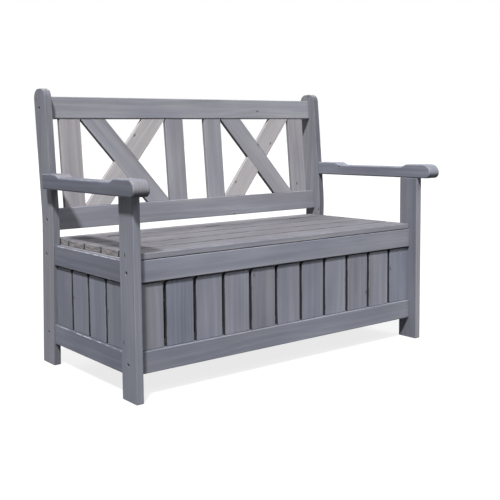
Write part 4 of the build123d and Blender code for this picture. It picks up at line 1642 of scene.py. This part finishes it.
@dataclass
class Lamp:
    """A far lamp: the way its light goes, its strength, and its width in degrees."""

    name: str
    way: Vector
    strength: float
    angle: float

    def hang(self) -> None:
        """Put the lamp into the scene."""
        data = bpy.data.lights.new(self.name, "SUN")
        data.energy = self.strength
        data.angle = math.radians(self.angle)
        stand(self.name, data).matrix_world = self.way.to_track_quat("-Z", "Y").to_matrix().to_4x4()


@dataclass
class Studio:
    """Floor, light and camera."""

    eye: Vector = field(default_factory=lambda: Vector((-1.5942, -1.9756, 0.6777)))
    yaw: float = 36.296
    pitch: float = 5.414
    roll: float = -0.803
    focal: float = 818.87  # in pixels of the photograph's frame
    centre: Pair = (205.0, 212.56)  # where the lens axis meets that frame
    frame: float = 500.0
    sensor: float = 36.0
    lamps: Sequence[Lamp] = (
        Lamp("key", Vector((1.0, 1.0, -1.9)), 4.9, 6.0),
        Lamp("front", Vector((-0.3, 1.0, -1.1)), 0.95, 25.0),
        Lamp("rear", Vector((-0.4, -1.0, -0.7)), 1.6, 30.0),
    )
    fill: float = 0.14  # light from all round
    floor_half: float = 40.0
    floor_drop: float = 0.0005  # below the feet

    def build(self) -> None:
        """Set up the studio."""
        self.camera()
        self.lights()
        self.floor()
        bpy.context.scene.view_settings.view_transform = "Standard"

    def camera(self) -> None:
        """Stand the camera where the photograph was taken."""
        yaw, pitch, roll = (math.radians(angle) for angle in (self.yaw, self.pitch, self.roll))
        level = Vector((math.cos(yaw), -math.sin(yaw), 0.0))
        ahead = Vector((math.sin(yaw) * math.cos(pitch), math.cos(yaw) * math.cos(pitch), -math.sin(pitch)))
        above = level.cross(ahead)
        right = level * math.cos(roll) + above * math.sin(roll)
        top = above * math.cos(roll) - level * math.sin(roll)
        data = bpy.data.cameras.new("camera")
        data.sensor_width = self.sensor
        data.lens = self.focal / self.frame * self.sensor
        data.shift_x = (self.frame / 2 - self.centre[0]) / self.frame
        data.shift_y = (self.centre[1] - self.frame / 2) / self.frame
        place = Matrix((right, top, -ahead)).transposed().to_4x4()
        place.translation = self.eye
        camera = stand("camera", data)
        camera.matrix_world = place
        bpy.context.scene.camera = camera

    def lights(self) -> None:
        """A key from the front left, weak lamps from front and rear, and an even fill that looks white."""
        for lamp in self.lamps:
            lamp.hang()
        world = bpy.data.worlds.new("studio")
        world.use_nodes = True
        bpy.context.scene.world = world
        graph = Graph(world.node_tree)
        strength = graph.seen() * (1.0 - self.fill) + self.fill
        graph.feed(graph.node("BACKGROUND"), {"Color": WHITE, "Strength": strength})

    def floor(self) -> None:
        """A floor that runs out of sight and keeps the bench's shadow."""
        mesh = bmesh.new()
        reach = self.floor_half
        ring = [(-reach, -reach), (reach, -reach), (reach, reach), (-reach, reach)]
        mesh.faces.new([mesh.verts.new((x, y, -self.floor_drop)) for x, y in ring])
        to_object("floor", [mesh], FLOOR)


def main() -> None:
    """Build the bench in its frame, then the studio around it."""
    logging.basicConfig(level=logging.INFO, format="%(message)s")
    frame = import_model()
    shop = Workshop(frame["nodes"], BoardRow(), FastenerSet())
    for assembly in (EndFrames, BoxWalls, BoxInside, Seat, Backrest, Hardware):
        assembly(shop).build()
    Studio().build()


if __name__ == "__main__":
    main()
